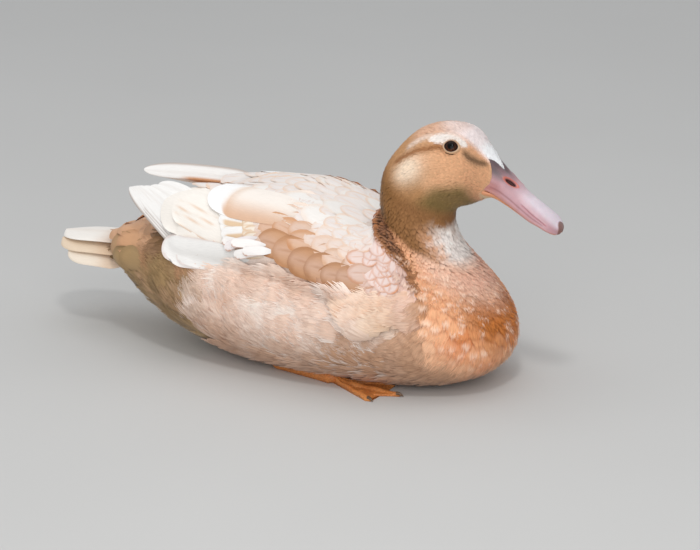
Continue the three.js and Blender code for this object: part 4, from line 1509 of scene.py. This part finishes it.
def claws(name, side):
    tubes = []
    for i, (angle, length) in enumerate(zip(FOOT.angles, FOOT.lengths)):
        k = np.linspace(0, 1, 14)
        xy = foot_point(side, length - 2 + 6 * k, angle + 0 * k)
        way = np.concatenate([xy, (2.2 + 0.9 * k - 2.3 * k ** 2)[:, None]], -1)
        points = tube(way, 1.5 * (1 - k) ** 0.6 + 0.12, 16)
        colours = blend(rgb(120, 92, 66), rgb(84, 62, 46), noise(points, 2))
        tubes.append((points, colours, ring_map(*points.shape[:2]) * [0.3, 1] + [i / 3, 0]))
    write_tubes(f"claws_{name}", tubes, horn(f"claw_{name}", 0.35))


# ---- studio

# Each lamp's name, place and size in metres, and power in watts. They look at the duck's middle.
LAMPS = [("key", (-0.3, 0.0, 1.8), 1.5, 5.4), ("fill", (0.7, -1.6, 0.8), 1.4, 12.5),
         ("glint", (0.48, -0.95, 1.75), 0.24, 7)]
LAMP_TARGET = (0, 0, 0.08)
FLOOR_TONES = (0.56, 0.555, 0.54, 1), (0.60, 0.595, 0.58, 1)
SKY_COLOUR = (0.95, 0.97, 1.0, 1)
SKY_STRENGTH = 0.6
CAMERA = SimpleNamespace(azimuth=np.radians(27), elevation=np.radians(18), distance=2.4, lens=154.3,
                         target=np.array([-0.014, 0.017, 0.066]))  # distance and target in metres


def studio():
    bpy.ops.mesh.primitive_plane_add(size=6)
    floor = bpy.context.object
    floor.name = "floor"
    shader = Shader("pale_floor", Roughness=0.9)
    ramp = shader.add("ShaderNodeMix", {"Factor": shader.noise(3.0)}, data_type="RGBA")
    ramp.inputs["A"].default_value, ramp.inputs["B"].default_value = FLOOR_TONES
    shader.link(ramp.outputs["Result"], "Base Color")
    floor.data.materials.append(shader.material)

    world = bpy.data.worlds.new("studio")
    world.use_nodes = True
    background = world.node_tree.nodes["Background"]
    background.inputs["Color"].default_value = SKY_COLOUR
    background.inputs["Strength"].default_value = SKY_STRENGTH
    bpy.context.scene.world = world
    for lamp in LAMPS:
        soft_light(*lamp)


def soft_light(name, place, size, watts):
    lamp = bpy.data.lights.new(name, "AREA")
    lamp.size = size
    lamp.energy = watts
    stand(name, lamp, place, LAMP_TARGET)


def stand(name, data, place, target):
    """Puts a lamp or the camera at a place, looking at a target. Both are in metres."""
    holder = bpy.data.objects.new(name, data)
    holder.location = place
    holder.rotation_euler = (Vector(place) - Vector(target)).to_track_quat("Z", "Y").to_euler()
    bpy.context.scene.collection.objects.link(holder)
    return holder


def camera():
    """A long lens from the duck's right and a little ahead, looking down at it."""
    around = CAMERA.azimuth
    level = np.cos(CAMERA.elevation)
    back = np.array([np.sin(around) * level, -np.cos(around) * level, np.sin(CAMERA.elevation)])
    lens = bpy.data.cameras.new("camera")
    lens.sensor_width = 36
    lens.lens = CAMERA.lens
    place = CAMERA.target + back * CAMERA.distance
    bpy.context.scene.camera = stand("camera", lens, place, CAMERA.target)


# ---- the duck

camera()
studio()
add_skin()
head_coat()
neck_coat()
breast_coat()
flank_coat()
rump_coat()
mantle_coat()
upper_bill()
lower_bill()
tail()
for side_name, side_sign in SIDES.items():
    wing_coat(side_name)
    primaries(side_name, side_sign)
    eye(side_name, side_sign)
    foot_skin(side_name, side_sign)

bpy.context.scene.view_settings.view_transform = "Standard"
